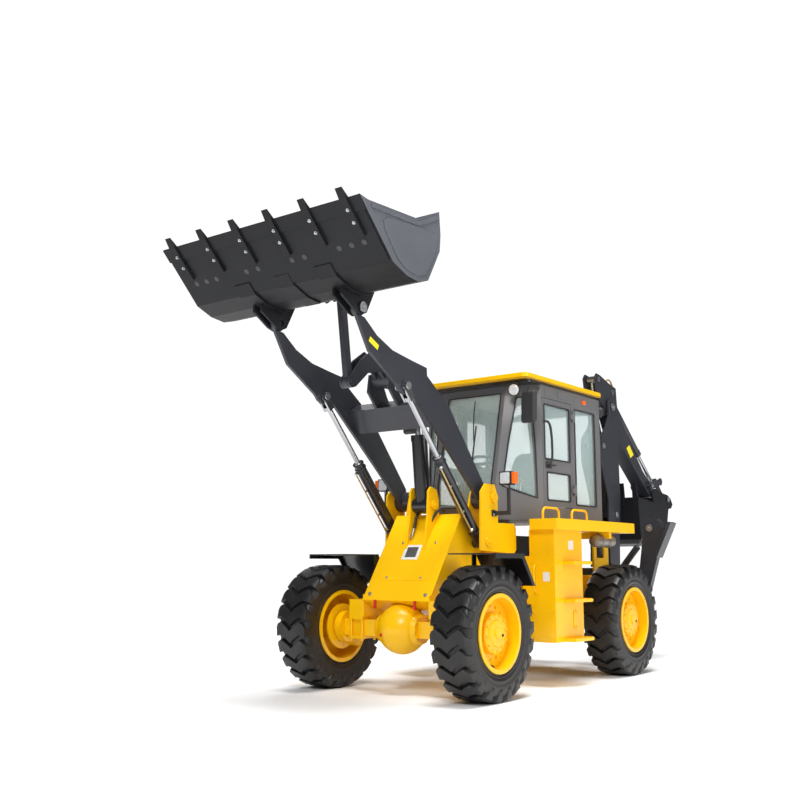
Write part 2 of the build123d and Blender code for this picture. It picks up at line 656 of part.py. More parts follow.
for side_name, side in (("left", 1), ("right", -1)):
    door_x = (side * (cab_side_x - door_thickness), side * cab_side_x)
    stations = (door_stations[0] + door_gap, door_stations[1] - door_gap)
    heights = (door_heights[0] + door_gap, door_heights[1] - door_gap)
    door_window_places = (((1480, 2025), (2260, 2830)), ((1520, 2016), (1835, 2120)))
    with BuildPart() as door:
        block(door_x, stations, heights)
        for window_stations, window_heights in door_window_places:
            block(door_x, window_stations, window_heights, mode=Mode.SUBTRACT)
        for height in hinge_heights:
            block((side * cab_side_x, side * hinge_x), (stations[1] - 30, stations[1]), (height - 30, height + 30))
            block((side * (hinge_x - 15), side * hinge_x), (stations[1] - 30, door_stations[1] + 12),
                  (height - 30, height + 30))
            post(side * hinge_x, door_stations[1] + 12, 15, (height - 30, height + 30))
            post(side * hinge_x, door_stations[1] + 12, hinge_pin_radius + pin_clearance,
                 (height - 30, height + 30), mode=Mode.SUBTRACT)
    finish(door, f"door_{side_name}")
    with BuildPart() as door_glass:
        pane_x = (side * (cab_side_x - 18), side * (cab_side_x - 18 + glass_thickness))
        for window_stations, window_heights in door_window_places:
            block(pane_x, window_stations, window_heights)
    finish(door_glass, f"door_glass_{side_name}")

with BuildPart() as cab_roof:
    block((-roof_x, roof_x), roof_stations, (cab_top + lining_height, cab_top + lining_height + roof_thickness))
    fillet(cab_roof.edges().filter_by(Axis.Z), radius=60)
    fillet(cab_roof.edges().group_by(Axis.Z)[-1], radius=12)
finish(cab_roof, "cab_roof")

with BuildPart() as roof_lining:
    block((-cab_side_x, cab_side_x), (roof_stations[0] + 120, cab_rear_station), (cab_top, cab_top + lining_height))
    fillet(roof_lining.edges().filter_by(Axis.Z), radius=80)
finish(roof_lining, "roof_lining")

inside_floor = cab_floor + 12
with BuildPart() as seat_pedestal:
    block((-170, 170), (1980, 2300), (inside_floor, inside_floor + 260))
finish(seat_pedestal, "seat_pedestal")

with BuildPart() as operator_seat:
    cushion = inside_floor + 260
    plate([(1900, cushion), (2400, cushion), (2480, cushion + 560), (2400, cushion + 580),
           (2300, cushion + 150), (1900, cushion + 120)], -240, 240)
    fillet(operator_seat.edges().filter_by(Axis.X), radius=25)
finish(operator_seat, "operator_seat")

with BuildPart() as steering_console:
    plate([(1250, inside_floor), (1480, inside_floor), (1520, inside_floor + 520), (1440, inside_floor + 560),
           (1330, inside_floor + 480)], -150, 150)
    hub = (1510, inside_floor + 600)
    bar((1480, inside_floor + 520), hub, 20, 0)
    wheel_plane = Plane(origin=(0, along(hub[0]), hub[1]), x_dir=(1, 0, 0), z_dir=(0, 0.35, 0.94))
    with BuildSketch(wheel_plane) as steering_wheel:
        Circle(190)
        Circle(165, mode=Mode.SUBTRACT)
        Rectangle(350, 30)
        Circle(40)
    extrude(steering_wheel.sketch, amount=24)
finish(steering_console, "steering_console")

# ---- Backhoe: shift frame, stabilizers, carriage and swing post -----------------------------------
frame_front, frame_rear = shift_frame_stations
leg_faces = (stabilizer_station - stabilizer_depth / 2, stabilizer_station + stabilizer_depth / 2)
with BuildPart() as shift_frame:
    block((-shift_frame_x, shift_frame_x), (frame_rear - shift_plate, frame_rear), shift_frame_heights)
    for side in (-1, 1):
        block((side * rail_x[0], side * rail_x[1]), (frame_front, frame_rear - shift_plate), (470, 1080))
        block((side * 690, side * shift_frame_x), (frame_front, frame_front + shift_plate),
              (shift_frame_heights[0], 760))
        block((side * 500, side * 690), (frame_front, frame_rear - shift_plate),
              (shift_frame_heights[0], shift_frame_heights[0] + shift_plate))
        block((side * 690, side * 720), (frame_front, frame_rear - shift_plate), (shift_frame_heights[0], 650))
        with BuildSketch(Plane.XZ.offset(-along(frame_front))) as pins:
            with Locations((side * stabilizer_pivot[0], stabilizer_pivot[1]),
                           (side * stabilizer_ram_base[0], stabilizer_ram_base[1])):
                Circle(boom_pin_radius)
        extrude(pins.sketch, amount=-(frame_rear - frame_front))
        block((side * 310, side * 520), (frame_front, frame_front + shift_plate), (700, 980))
finish(shift_frame, "shift_frame")


def cross_disc(x, height, radius, station_from, station_to, mode=Mode.ADD):
    """A round boss, pin or bore that runs along the machine, at an X and a height."""
    station_from, station_to = sorted((station_from, station_to))
    with BuildSketch(Plane.XZ.offset(-along(station_from))) as outline:
        with Locations((x, height)):
            Circle(radius)
    extrude(outline.sketch, amount=-(station_to - station_from), mode=mode)


def cross_plate(points, station_from, station_to, mode=Mode.ADD):
    """A flat plate with an outline of (x, height) points, between two stations."""
    station_from, station_to = sorted((station_from, station_to))
    with BuildSketch(Plane.XZ.offset(-along(station_from))) as outline:
        with BuildLine():
            Polyline(*points, close=True)
        make_face()
    extrude(outline.sketch, amount=-(station_to - station_from), mode=mode)


def cross_bar(start, end, radius, station, mode=Mode.ADD):
    """A round bar between two (x, height) points at one station."""
    reach = (end[0] - start[0], 0, end[1] - start[1])
    with BuildSketch(Plane(origin=(start[0], along(station), start[1]), x_dir=(0, 1, 0), z_dir=reach)) as outline:
        Circle(radius)
    extrude(outline.sketch, amount=hypot(*reach), mode=mode)


for side_name, side in (("left", 1), ("right", -1)):
    pivot = (side * stabilizer_pivot[0], stabilizer_pivot[1])
    ram_base_point = (side * stabilizer_ram_base[0], stabilizer_ram_base[1])
    ram_point = (side * stabilizer_ram_pin[0], stabilizer_ram_pin[1])
    with BuildPart() as leg:
        leg_outline = [(740, 560), (820, 490), (880, 560), (1170, 1540), (1140, 1660), (1060, 1730),
                       (965, 1700), (935, 1600), (815, 800)]
        cross_plate([(side * x, height) for x, height in leg_outline], *leg_faces)
        cross_disc(pivot[0], pivot[1], 60, *leg_faces)
        pad = [(1300, 1640), (1268, 1655), (1085, 1270), (1118, 1252)]
        cross_plate([(side * x, height) for x, height in pad], leg_faces[0] - 90, leg_faces[1])
        cross_plate([(side * x, height) for x, height in ((1120, 1400), (1200, 1590), (1120, 1600))], *leg_faces)
        cross_disc(pivot[0], pivot[1], boom_pin_radius + pin_clearance, *leg_faces, mode=Mode.SUBTRACT)
        slot = [(700, 950), (985, 950), (1120, 1500), (1100, 1720), (900, 1760), (700, 1700)]
        cross_plate([(side * x, height) for x, height in slot], stabilizer_station - 26,
                    stabilizer_station + 26, mode=Mode.SUBTRACT)
        for face, outward in ((leg_faces[0], 1), (leg_faces[1], -1)):
            cross_disc(side * stabilizer_ram_pin[0], stabilizer_ram_pin[1], 26, face - outward * 8,
                       face + outward * 14)
    finish(leg, f"stabilizer_{side_name}")

with BuildPart() as carriage:
    half = carriage_half_width
    face = frame_rear + slide_gap
    block((boom_x - half, boom_x + half), (face, face + 20), (shift_frame_heights[0] - 35, 1135))
    block((boom_x - half, boom_x + half), (frame_rear - 23, face + 20),
          (shift_frame_heights[1] + slide_gap, 1135))
    block((boom_x - half, boom_x + half), (frame_rear - shift_plate - 25, face + 20),
          (shift_frame_heights[0] - 35, shift_frame_heights[0] - slide_gap))
    for slab in ((480, 530), (1085, 1135)):
        block((boom_x - 85, boom_x + 85), (face + 20, swing_station), slab)
        post(boom_x, swing_station, 85, slab)
        post(boom_x, swing_station, swing_pin_radius + pin_clearance, slab, mode=Mode.SUBTRACT)
finish(carriage, "carriage")

with BuildPart() as swing_post:
    post(boom_x, swing_station, 70, (536, 1079))
    post(boom_x, swing_station, swing_pin_radius, (470, 1145))
    block((boom_x - 60, boom_x + 60), (swing_station, swing_station + 110), (600, 1060))
    plate(behind([(945, 1060), (945, 760), (1005, 760), (1075, 860), (1025, 940)]), boom_x - 60, boom_x + 60)
    disc(boom_foot, 80, boom_x - 90, boom_x + 90)
    disc(boom_foot, boom_pin_radius, boom_x - boom_half_width - 10, boom_x + boom_half_width + 10)
    block((boom_x - 60, boom_x + 60), (swing_station - 90, swing_station + 130), (1145, 1165))
    block((boom_x - 60, boom_x + 60), (swing_station + 95, swing_station + 130), (1040, 1165))
    for side in (-1, 1):
        block((boom_x + side * 66, boom_x + side * 88), (swing_station - 90, swing_station + 35), (1145, 1310))
        block((boom_x + side * 50, boom_x + side * 88), (swing_station - 90, swing_station + 35), (1145, 1180))
    disc(ram_base, boom_pin_radius, boom_x - 88, boom_x + 88)
finish(swing_post, "swing_post")

# ---- Boom, stick, hoe bucket and their links ------------------------------------------------------
boom_outline = behind([(925, 815), (1005, 775), (1085, 860), (1095, 1100), (1120, 1500), (1170, 1958), (1159, 2522),
                (1205, 2800), (1105, 3090), (945, 3180), (925, 2990), (835, 2840), (695, 2720),
                (655, 2640), (665, 2400), (845, 1958), (835, 1500), (835, 1200), (913, 1150),
                (917, 900)])
with BuildPart() as boom:
    outer = boom_half_width
    for side in (-1, 1):
        plate(boom_outline, boom_x + side * (outer - boom_plate), boom_x + side * outer)
        disc(stick_pivot, 95, boom_x + side * (outer - boom_plate), boom_x + side * outer)
        disc(boom_foot, boom_pin_radius + pin_clearance, boom_x + side * 90, boom_x + side * (outer + 1),
             mode=Mode.SUBTRACT)
    rear_web = behind([(1095, 1100), (1120, 1500), (1170, 1958), (1161, 2480), (1135, 2480), (1144, 1960), (1095, 1510),
                (1071, 1100)])
    plate(rear_web, boom_x - outer, boom_x + outer)
    disc(stick_ram_base, 30, boom_x - outer - 8, boom_x + outer + 8)
    for side in (-1, 1):
        disc(ram_pin, 30, boom_x + side * 62, boom_x + side * (outer + 8))
    disc(stick_pivot, boom_pin_radius, boom_x - outer - 12, boom_x + outer + 12)
finish(boom, "boom")

stick_outline = behind([(665, 3440), (715, 3500), (805, 3490), (1045, 3420), (1244, 3380), (1265, 3150), (1531, 2800),
                 (1967, 2383), (2145, 2265), (2275, 2160), (2300, 2090), (2235, 2045), (2162, 2060), (1657, 2427), (1260, 2706),
                 (1075, 3020), (945, 3060), (805, 3150), (695, 3290)])
with BuildPart() as stick:
    for side in (-1, 1):
        plate(stick_outline, boom_x + side * (stick_half_width - stick_plate), boom_x + side * stick_half_width)
    inside = boom_x - stick_half_width, boom_x + stick_half_width
    plate(behind([(1285, 2720), (1675, 2450), (2145, 2100), (2145, 2070), (1657, 2427), (1260, 2706)]), *inside)
    plate(behind([(1459, 2890), (1531, 2800), (1967, 2383), (1950, 2366), (1514, 2783), (1442, 2873)]), *inside)
    plate(behind([(1260, 2706), (1075, 3020), (1105, 3020), (1285, 2720)]), *inside)
    disc(stick_pivot, 85, *inside)
    disc(stick_tip, 62, *inside)
    disc(stick_pivot, boom_pin_radius + pin_clearance, *inside, mode=Mode.SUBTRACT)
    for side in (-1, 1):
        disc(stick_head, 26, boom_x + side * 52, boom_x + side * (stick_half_width + 8))
    disc(hoe_ram_base, 26, boom_x - stick_half_width - 8, boom_x + stick_half_width + 8)
    disc(stick_tip, hoe_pin_radius + pin_clearance, *inside, mode=Mode.SUBTRACT)
    disc(rocker_pivot, hoe_pin_radius, boom_x - stick_half_width - 58, boom_x + stick_half_width + 58)
finish(stick, "stick")

hoe_side = behind([(1309, 2001), (1335, 1700), (1365, 1480), (1425, 1430), (1645, 1400), (1945, 1500), (2185, 1675),
            (2255, 1916)])
with BuildPart() as hoe_bucket:
    plate(hoe_side, boom_x - hoe_half_width, boom_x + hoe_half_width)
    hollow = behind([(1329, 2100), (1355, 1702), (1382, 1492), (1431, 1449), (1643, 1419), (1937, 1516), (2169, 1686),
              (2235, 1921), (2235, 2100)])
    plate(hollow, boom_x - hoe_half_width + hoe_plate, boom_x + hoe_half_width - hoe_plate, mode=Mode.SUBTRACT)
    for side in (-1, 1):
        near = boom_x + side * (stick_half_width + moving_gap)
        plate(behind([(2235, 1915), (2170, 2110), (2205, 2165), (2285, 2170), (2485, 2125), (2685, 2105),
               (2785, 2060), (2845, 1985), (2795, 1930), (2545, 1895), (2190, 1690)]), near, near + side * 22)
        disc(stick_tip, hoe_pin_radius, boom_x, near + side * 24)
        disc(bucket_link_pin, hoe_pin_radius, boom_x + side * 70, near + side * 34)
    for number in range(hoe_tooth_count):
        tooth_x = boom_x + (number - (hoe_tooth_count - 1) / 2) * 170
        plate(behind([(1309, 2001), (1299, 2180), (1315, 2180), (1345, 1960), (1331, 1900), (1305, 1900)]),
              tooth_x - 30, tooth_x + 30)
finish(hoe_bucket, "hoe_bucket")

with BuildPart() as hoe_rocker:
    for side in (-1, 1):
        near = boom_x + side * (stick_half_width + 2 * moving_gap + 22)
        far = near + side * 18
        disc(rocker_pivot, 55, near, far)
        disc(hoe_ram_eye, 48, near, far)
        lean = atan2(hoe_ram_eye[1] - rocker_pivot[1], hoe_ram_eye[0] - rocker_pivot[0])
        across = (-sin(lean) * 42, cos(lean) * 42)
        plate([(rocker_pivot[0] + across[0], rocker_pivot[1] + across[1]),
               (hoe_ram_eye[0] + across[0], hoe_ram_eye[1] + across[1]),
               (hoe_ram_eye[0] - across[0], hoe_ram_eye[1] - across[1]),
               (rocker_pivot[0] - across[0], rocker_pivot[1] - across[1])], near, far)
        disc(rocker_pivot, hoe_pin_radius + pin_clearance, near, far, mode=Mode.SUBTRACT)
        disc(hoe_ram_eye, hoe_pin_radius, boom_x + side * 38, far)
finish(hoe_rocker, "hoe_rocker")

with BuildPart() as hoe_link:
    for side in (-1, 1):
        near, far = (boom_x + side * 40, boom_x + side * 64)
        lean = atan2(bucket_link_pin[1] - hoe_ram_eye[1], bucket_link_pin[0] - hoe_ram_eye[0])
        across = (-sin(lean) * 34, cos(lean) * 34)
        ends = (hoe_ram_eye, bucket_link_pin)
        plate([(ends[0][0] + across[0], ends[0][1] + across[1]), (ends[1][0] + across[0], ends[1][1] + across[1]),
               (ends[1][0] - across[0], ends[1][1] - across[1]), (ends[0][0] - across[0], ends[0][1] - across[1])],
              near, far)
        for end in ends:
            disc(end, 48, near, far)
        disc(hoe_ram_eye, hoe_pin_radius + pin_clearance, near, far, mode=Mode.SUBTRACT)
    disc(bucket_link_pin, 20, boom_x - 45, boom_x + 45)
finish(hoe_link, "hoe_link")

# ---- Backhoe cylinders ----------------------------------------------------------------------------
cylinder_pair("boom_ram", boom_x, ram_base, ram_pin, 55, 30, 1010, 240, (52, 58, boom_pin_radius + pin_clearance),
              (45, 55, 0))
cylinder_pair("stick_ram", boom_x, stick_ram_base, stick_head, 52, 28, 920, 780, (52, 60, 30 + pin_clearance),
              (45, 45, 0))
cylinder_pair("hoe_ram", boom_x, hoe_ram_base, hoe_ram_eye, 46, 25, 1120, 980, (44, 50, 26 + pin_clearance),
              (44, 30, 0))

for side_name, side in (("left", 1), ("right", -1)):
    base_point = (side * stabilizer_ram_base[0], stabilizer_ram_base[1])
    eye_point = (side * stabilizer_ram_pin[0], stabilizer_ram_pin[1])
    gland = between(base_point, eye_point, 700)
    with BuildPart() as stabilizer_barrel:
        cross_bar(base_point, gland, 38, stabilizer_station)
        cross_disc(*base_point, 52, stabilizer_station - 38, stabilizer_station + 38)
        cross_bar(between(base_point, eye_point, 90), gland, 20 + pin_clearance, stabilizer_station,
                  mode=Mode.SUBTRACT)
        cross_disc(*base_point, boom_pin_radius + pin_clearance, stabilizer_station - 45,
                   stabilizer_station + 45, mode=Mode.SUBTRACT)
    finish(stabilizer_barrel, f"stabilizer_{side_name}_barrel")
    with BuildPart() as stabilizer_rod:
        cross_bar(between(base_point, eye_point, 100), eye_point, 20, stabilizer_station)
        cross_disc(*eye_point, 38, stabilizer_station - 18, stabilizer_station + 18)
    finish(stabilizer_rod, f"stabilizer_{side_name}_rod")
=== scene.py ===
"""Backhoe loader: the dressed model. Metres, in the row frame: +X to the machine's left, front towards -Y."""

import json
import math

import bmesh
import bpy
from mathutils import Matrix, Vector


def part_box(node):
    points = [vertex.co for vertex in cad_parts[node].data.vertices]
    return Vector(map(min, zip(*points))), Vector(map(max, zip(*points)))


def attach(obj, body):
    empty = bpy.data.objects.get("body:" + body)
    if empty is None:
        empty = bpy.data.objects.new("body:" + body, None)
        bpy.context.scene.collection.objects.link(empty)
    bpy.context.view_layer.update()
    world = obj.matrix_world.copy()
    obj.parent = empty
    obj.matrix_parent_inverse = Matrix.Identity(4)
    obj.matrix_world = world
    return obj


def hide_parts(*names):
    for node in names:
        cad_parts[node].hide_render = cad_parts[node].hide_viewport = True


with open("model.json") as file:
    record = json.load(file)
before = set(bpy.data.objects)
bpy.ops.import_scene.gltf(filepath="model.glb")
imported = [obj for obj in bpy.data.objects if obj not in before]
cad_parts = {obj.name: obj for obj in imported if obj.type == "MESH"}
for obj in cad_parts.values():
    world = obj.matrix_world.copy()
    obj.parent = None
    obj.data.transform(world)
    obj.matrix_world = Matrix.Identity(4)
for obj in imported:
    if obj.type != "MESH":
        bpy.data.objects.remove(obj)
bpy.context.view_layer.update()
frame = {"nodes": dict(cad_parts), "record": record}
nodes = frame["nodes"]


def middle(node):
    low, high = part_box(node)
    return (Vector(low) + Vector(high)) / 2


AXLE_Y = middle("tyre_front_left").y
WHEEL_Z = middle("tyre_front_left").z
TYRE_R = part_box("tyre_front_left")[1][2] - WHEEL_Z
HOE_X = middle("swing_post").x
WHEELBASE = 2.755
BUCKET_CHEEK_X = 1.145  # the loader bucket's outer side faces
BOX_FACE_X = 0.980  # the side boxes' outer faces
BOX_FRONT_S = 1.160  # the station of their front faces

# pins of the linkages, as (station, height)
LIFT_BASE, LIFT_EYE = (0.590, 1.390), (-0.618, 2.749)
BOOM_RAM_BASE, BOOM_RAM_PIN = (3.560, 1.270), (3.490, 2.600)
STICK_RAM_BASE, STICK_HEAD, STICK_PIVOT = (3.790, 1.776), (3.511, 3.430), (3.776, 3.110)
HOE_RAM_BASE, HOE_RAM_EYE, ROCKER_PIVOT = (3.893, 3.312), (5.177, 2.269), (4.880, 2.192)
BOOM_FOOT, HOE_BUCKET_PIN = (3.750, 0.860), (5.431, 2.045)


def at(x, station, z):
    """A point given by its X, its distance behind the front axle and its height."""
    return Vector((x, AXLE_Y + station, z))


# ---- Camera ---------------------------------------------------------------------------------------
scene = bpy.context.scene
camera = bpy.data.objects.new("camera", bpy.data.cameras.new("camera"))
scene.collection.objects.link(camera)
camera.location = at(5.7995, -7.5877, 1.1939)
turn, pitch = math.radians(37.54), math.radians(9.295)
gaze = Vector((-math.sin(turn) * math.cos(pitch), math.cos(turn) * math.cos(pitch), math.sin(pitch)))
camera.rotation_euler = gaze.to_track_quat("-Z", "Y").to_euler()
camera.data.lens, camera.data.sensor_width = 44.93, 36.0
scene.camera = camera
scene.view_settings.view_transform = "Standard"


# ---- Materials ------------------------------------------------------------------------------------
def link(tree, a, out, b, into):
    tree.links.new(a.outputs[out], b.inputs[into])


def material(name, colour, rough, metallic=0.0, coat=0.0, vary=0.1, spread=1.2, grain=250.0, bump=0.06,
             rough_vary=0.1, dust=0.0, stretch=(1, 1, 1), extra=None):
    """A surface whose colour drifts softly, with fine grain in its gloss and relief, and dust low down."""
    m = bpy.data.materials.new(name)
    m.use_nodes = True
    t = m.node_tree
    shader = t.nodes["Principled BSDF"]
    shader.inputs["Metallic"].default_value = metallic
    shader.inputs["Coat Weight"].default_value = coat
    shader.inputs["Coat Roughness"].default_value = 0.12
    where = t.nodes.new("ShaderNodeTexCoord")
    scale = t.nodes.new("ShaderNodeMapping")
    scale.inputs["Scale"].default_value = stretch
    link(t, where, "Object", scale, "Vector")
    broad = t.nodes.new("ShaderNodeTexNoise")
    broad.inputs["Scale"].default_value = spread
    broad.inputs["Detail"].default_value = 6
    fine = t.nodes.new("ShaderNodeTexNoise")
    fine.inputs["Scale"].default_value = grain
    fine.inputs["Detail"].default_value = 3
    link(t, scale, "Vector", broad, "Vector")
    link(t, scale, "Vector", fine, "Vector")
    ramp = t.nodes.new("ShaderNodeValToRGB")
    ramp.color_ramp.elements[0].position, ramp.color_ramp.elements[1].position = 0.3, 0.72
    ramp.color_ramp.elements[0].color = [c * (1 - vary) for c in colour] + [1]
    ramp.color_ramp.elements[1].color = [min(1, c * (1 + vary)) for c in colour] + [1]
    link(t, broad, "Fac", ramp, "Fac")
    colour_from = (ramp, "Color")
    if dust:
        low = t.nodes.new("ShaderNodeSeparateXYZ")
        link(t, where, "Object", low, "Vector")
        height = t.nodes.new("ShaderNodeMapRange")
        for socket, value in (("From Min", 0.1), ("From Max", 1.3), ("To Min", dust), ("To Max", 0.0)):
            height.inputs[socket].default_value = value
        link(t, low, "Z", height, "Value")
        patch = t.nodes.new("ShaderNodeMath")
        patch.operation = "MULTIPLY"
        link(t, height, "Result", patch, 0)
        link(t, fine, "Fac", patch, 1)
        mix = t.nodes.new("ShaderNodeMix")
        mix.data_type = "RGBA"
        link(t, patch, "Value", mix, "Factor")
        t.links.new(ramp.outputs["Color"], mix.inputs[6])
        mix.inputs[7].default_value = (0.28, 0.24, 0.19, 1)
        colour_from = (mix, 2)
    t.links.new(colour_from[0].outputs[colour_from[1]], shader.inputs["Base Color"])
    gloss = t.nodes.new("ShaderNodeMapRange")
    gloss.inputs["To Min"].default_value = max(0.02, rough - rough_vary)
    gloss.inputs["To Max"].default_value = min(1, rough + rough_vary)
    link(t, broad, "Fac", gloss, "Value")
    link(t, gloss, "Result", shader, "Roughness")
    relief = t.nodes.new("ShaderNodeBump")
    relief.inputs["Strength"].default_value = bump
    relief.inputs["Distance"].default_value = 0.002
    link(t, fine, "Fac", relief, "Height")
    link(t, relief, "Normal", shader, "Normal")
    if extra:
        for socket, value in extra.items():
            shader.inputs[socket].default_value = value
    return m


YELLOW = material("yellow_paint", (0.98, 0.54, 0.002), 0.30, coat=0.2, vary=0.04, bump=0.04,
                  extra={"Specular IOR Level": 0.3})
GREY = material("slate_paint", (0.034, 0.036, 0.045), 0.38, coat=0.2, vary=0.15, bump=0.05,
                extra={"Specular IOR Level": 0.35})
# bucket paint darkened to near black as painted shade of the unlit underside; the hoe bucket shares it
BUCKET_PAINTED_SHADE = material("bucket_paint_painted_shade", (0.010, 0.0105, 0.013), 0.46, vary=0.25, spread=2.0, bump=0.06,
                  extra={"Specular IOR Level": 0.22})
# a lighter copy of the same bucket paint, as painted light on the lit outer cheeks
CHEEK_PAINTED_LIGHT = material("bucket_cheek_paint_painted_light", (0.105, 0.113, 0.130), 0.36, coat=0.2, vary=0.1, spread=2.0, bump=0.05)
CAB = material("cab_paint", (0.150, 0.150, 0.156), 0.40, coat=0.1, vary=0.07, bump=0.04)
BLACK = material("black_paint", (0.009, 0.009, 0.011), 0.30, coat=0.4, vary=0.2, bump=0.06)
CAST = material("cast_iron", (0.03, 0.03, 0.033), 0.62, metallic=0.2, vary=0.25, grain=120, bump=0.35)
RUBBER = material("tyre_rubber", (0.008, 0.008, 0.009), 0.42, vary=0.3, spread=9, grain=500, bump=0.14, dust=0.04)
HOSE = material("hose_rubber", (0.014, 0.014, 0.015), 0.45, vary=0.2, grain=900, bump=0.2)
TRIM = material("black_plastic", (0.02, 0.02, 0.022), 0.5, vary=0.15, grain=700, bump=0.2)
CHROME = material("rod_chrome", (0.46, 0.47, 0.49), 0.20, metallic=1, vary=0.03, rough_vary=0.04, grain=600,
                  bump=0.02)
STEEL = material("zinc_steel", (0.52, 0.53, 0.55), 0.34, metallic=1, vary=0.12, spread=14, bump=0.06)
BRASS = material("passivated_pipe", (0.62, 0.50, 0.26), 0.32, metallic=1, vary=0.15, spread=10, bump=0.06)
MUFFLER = material("muffler_steel", (0.30, 0.27, 0.24), 0.5, metallic=0.8, vary=0.3, spread=12, bump=0.15)
VINYL = material("seat_vinyl", (0.035, 0.036, 0.042), 0.62, vary=0.15, spread=6, grain=650, bump=0.45,
                 extra={"Sheen Weight": 0.25})
LABEL = material("blank_label", (0.80, 0.80, 0.78), 0.4, vary=0.03, bump=0.02)
YELLOW_LABEL = material("blank_yellow_label", (0.95, 0.80, 0.02), 0.35, vary=0.03, bump=0.02)
AMBER = material("amber_lens", (0.95, 0.16, 0.01), 0.15, coat=0.6, vary=0.06, grain=90, bump=0.3,
                 extra={"Subsurface Weight": 0.1})
RED = material("red_cap", (0.60, 0.02, 0.01), 0.4, vary=0.1, bump=0.05)
LAMP = material("lamp_lens", (0.85, 0.87, 0.9), 0.08, coat=1.0, vary=0.08, spread=18, grain=60, bump=0.35,
                extra={"Metallic": 0.35})
MIRROR = material("mirror_face", (0.75, 0.78, 0.8), 0.05, metallic=1, vary=0.02, rough_vary=0.02, bump=0.0)
GLASS = material("window_glass", (0.74, 0.93, 0.92), 0.05, vary=0.04, spread=0.8, rough_vary=0.03, bump=0.0,
                 extra={"Alpha": 0.26, "Specular IOR Level": 0.7})
GLASS.surface_render_method = "BLENDED"
FLOOR = material("studio_floor", (0.97, 0.97, 0.97), 0.9, vary=0.005, spread=0.3, bump=0.0)

by_slot = {"yellow_paint": YELLOW, "grey_paint": GREY, "black_paint": BLACK, "cast_grey": CAST,
           "tyre_rubber": RUBBER, "rod_chrome": CHROME, "window_glass": GLASS, "trim_black": TRIM,
           "seat_vinyl": VINYL, "lamp_housing": TRIM}
by_node = {"cab_frame": CAB, "door_left": CAB, "door_right": CAB, "loader_bucket": BUCKET_PAINTED_SHADE, "hoe_bucket": BUCKET_PAINTED_SHADE,
           "lift_left_barrel": BLACK, "lift_right_barrel": BLACK, "tilt_barrel": BLACK}
sharp = {"cab_glass", "door_glass_left", "door_glass_right"}
for part in frame["record"]["subparts"]:
    name = part["node"]
    node = nodes[name]
    node.data.materials.clear()
    node.data.materials.append(by_node.get(name, by_slot[part["material_slot"]]))
    if name not in sharp and not name.startswith("tyre_"):
        edge = node.modifiers.new("edge", "BEVEL")
        edge.width = 0.004
        edge.segments = 2
        edge.limit_method = "ANGLE"
        edge.angle_limit = math.radians(40)
        edge.harden_normals = True

# the bucket's outer cheeks catch the light, so they take a lighter copy of the bucket paint as painted light, set
# apart from the darker copy that stands for the shade on the underside
bucket = nodes["loader_bucket"].data
bucket.materials.append(CHEEK_PAINTED_LIGHT)
# faces on the outer sides take the lighter copy, as painted light
for face in bucket.polygons:
    if abs(face.normal.x) > 0.9 and abs(face.center.x) > 1.12:
        face.material_index = 1


# ---- Mesh helpers ---------------------------------------------------------------------------------
def piece(name, bm, mat, body, bevel=0.003, smooth=40):
    """Makes a mesh piece from bm, with rounded edges, riding on a body."""
    bmesh.ops.recalc_face_normals(bm, faces=bm.faces)
    mesh = bpy.data.meshes.new(name)
    bm.to_mesh(mesh)
    bm.free()
    for face in mesh.polygons:
        face.use_smooth = True
    mesh.set_sharp_from_angle(angle=math.radians(smooth))
    obj = bpy.data.objects.new(name, mesh)
    scene.collection.objects.link(obj)
    mesh.materials.append(mat)
    if bevel:
        edge = obj.modifiers.new("edge", "BEVEL")
        edge.width, edge.segments, edge.limit_method = bevel, 2, "ANGLE"
        edge.angle_limit = math.radians(35)
        edge.harden_normals = True
    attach(obj, body)
    return obj


def slab(bm, x, s, z):
    """A box between two X, two stations and two heights."""
    made = bmesh.ops.create_cube(bm, size=1)["verts"]
    low, high = at(min(x), min(s), min(z)), at(max(x), max(s), max(z))
    for v in made:
        v.co = Vector([low[i] + (v.co[i] + 0.5) * (high[i] - low[i]) for i in range(3)])
    return made


def rod(bm, a, b, r, sides=20, r2=None):
    """A round bar from a to b, its far end of radius r2."""
    span = b - a
    place = Matrix.Translation((a + b) / 2) @ span.to_track_quat("Z", "Y").to_matrix().to_4x4()
    return bmesh.ops.create_cone(bm, cap_ends=True, segments=sides, radius1=r, radius2=r if r2 is None else r2,
                                 depth=span.length, matrix=place)["verts"]


def prism(bm, points, thick):
    """A plate: its outline of points in one plane, made thick along a vector."""
    near = [bm.verts.new(p) for p in points]
    far = [bm.verts.new(p + thick) for p in points]
    bm.faces.new(near)
    bm.faces.new(far[::-1])
    for i in range(len(points)):
        j = (i + 1) % len(points)
        bm.faces.new((near[i], far[i], far[j], near[j]))


def bolt(bm, point, out, r=0.011):
    """A washer and a six-sided head standing on a surface."""
    out = out.normalized()
    rod(bm, point, point + out * 0.004, r * 1.5, 16)
    rod(bm, point + out * 0.004, point + out * (0.004 + r), r, 6)


def hose(name, points, r, mat, body):
    """A hose or pipe clamped at both ends: one smooth line through its points."""
    curve = bpy.data.curves.new(name, "CURVE")
    curve.dimensions, curve.bevel_depth, curve.bevel_resolution, curve.use_fill_caps = "3D", r, 4, True
    line = curve.splines.new("NURBS")
    line.points.add(len(points) - 1)
    for p, q in zip(line.points, points):
        p.co = (*q, 1)
    line.order_u = min(4, len(points))
    line.use_endpoint_u = True
    obj = bpy.data.objects.new(name, curve)
    scene.collection.objects.link(obj)
    curve.materials.append(mat)
    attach(obj, body)
    return obj


# ---- Tyres: a rounded carcass with chevron lugs that run down both shoulders ----------------------
LUGS = 22
half_width = (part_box("tyre_front_left")[1][0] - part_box("tyre_front_left")[0][0]) / 2


def carcass_radius(share):
    """The radius of the casing at a share of the half width from the centre plane."""
    return TYRE_R - 0.034 - 0.020 * abs(share) ** 3


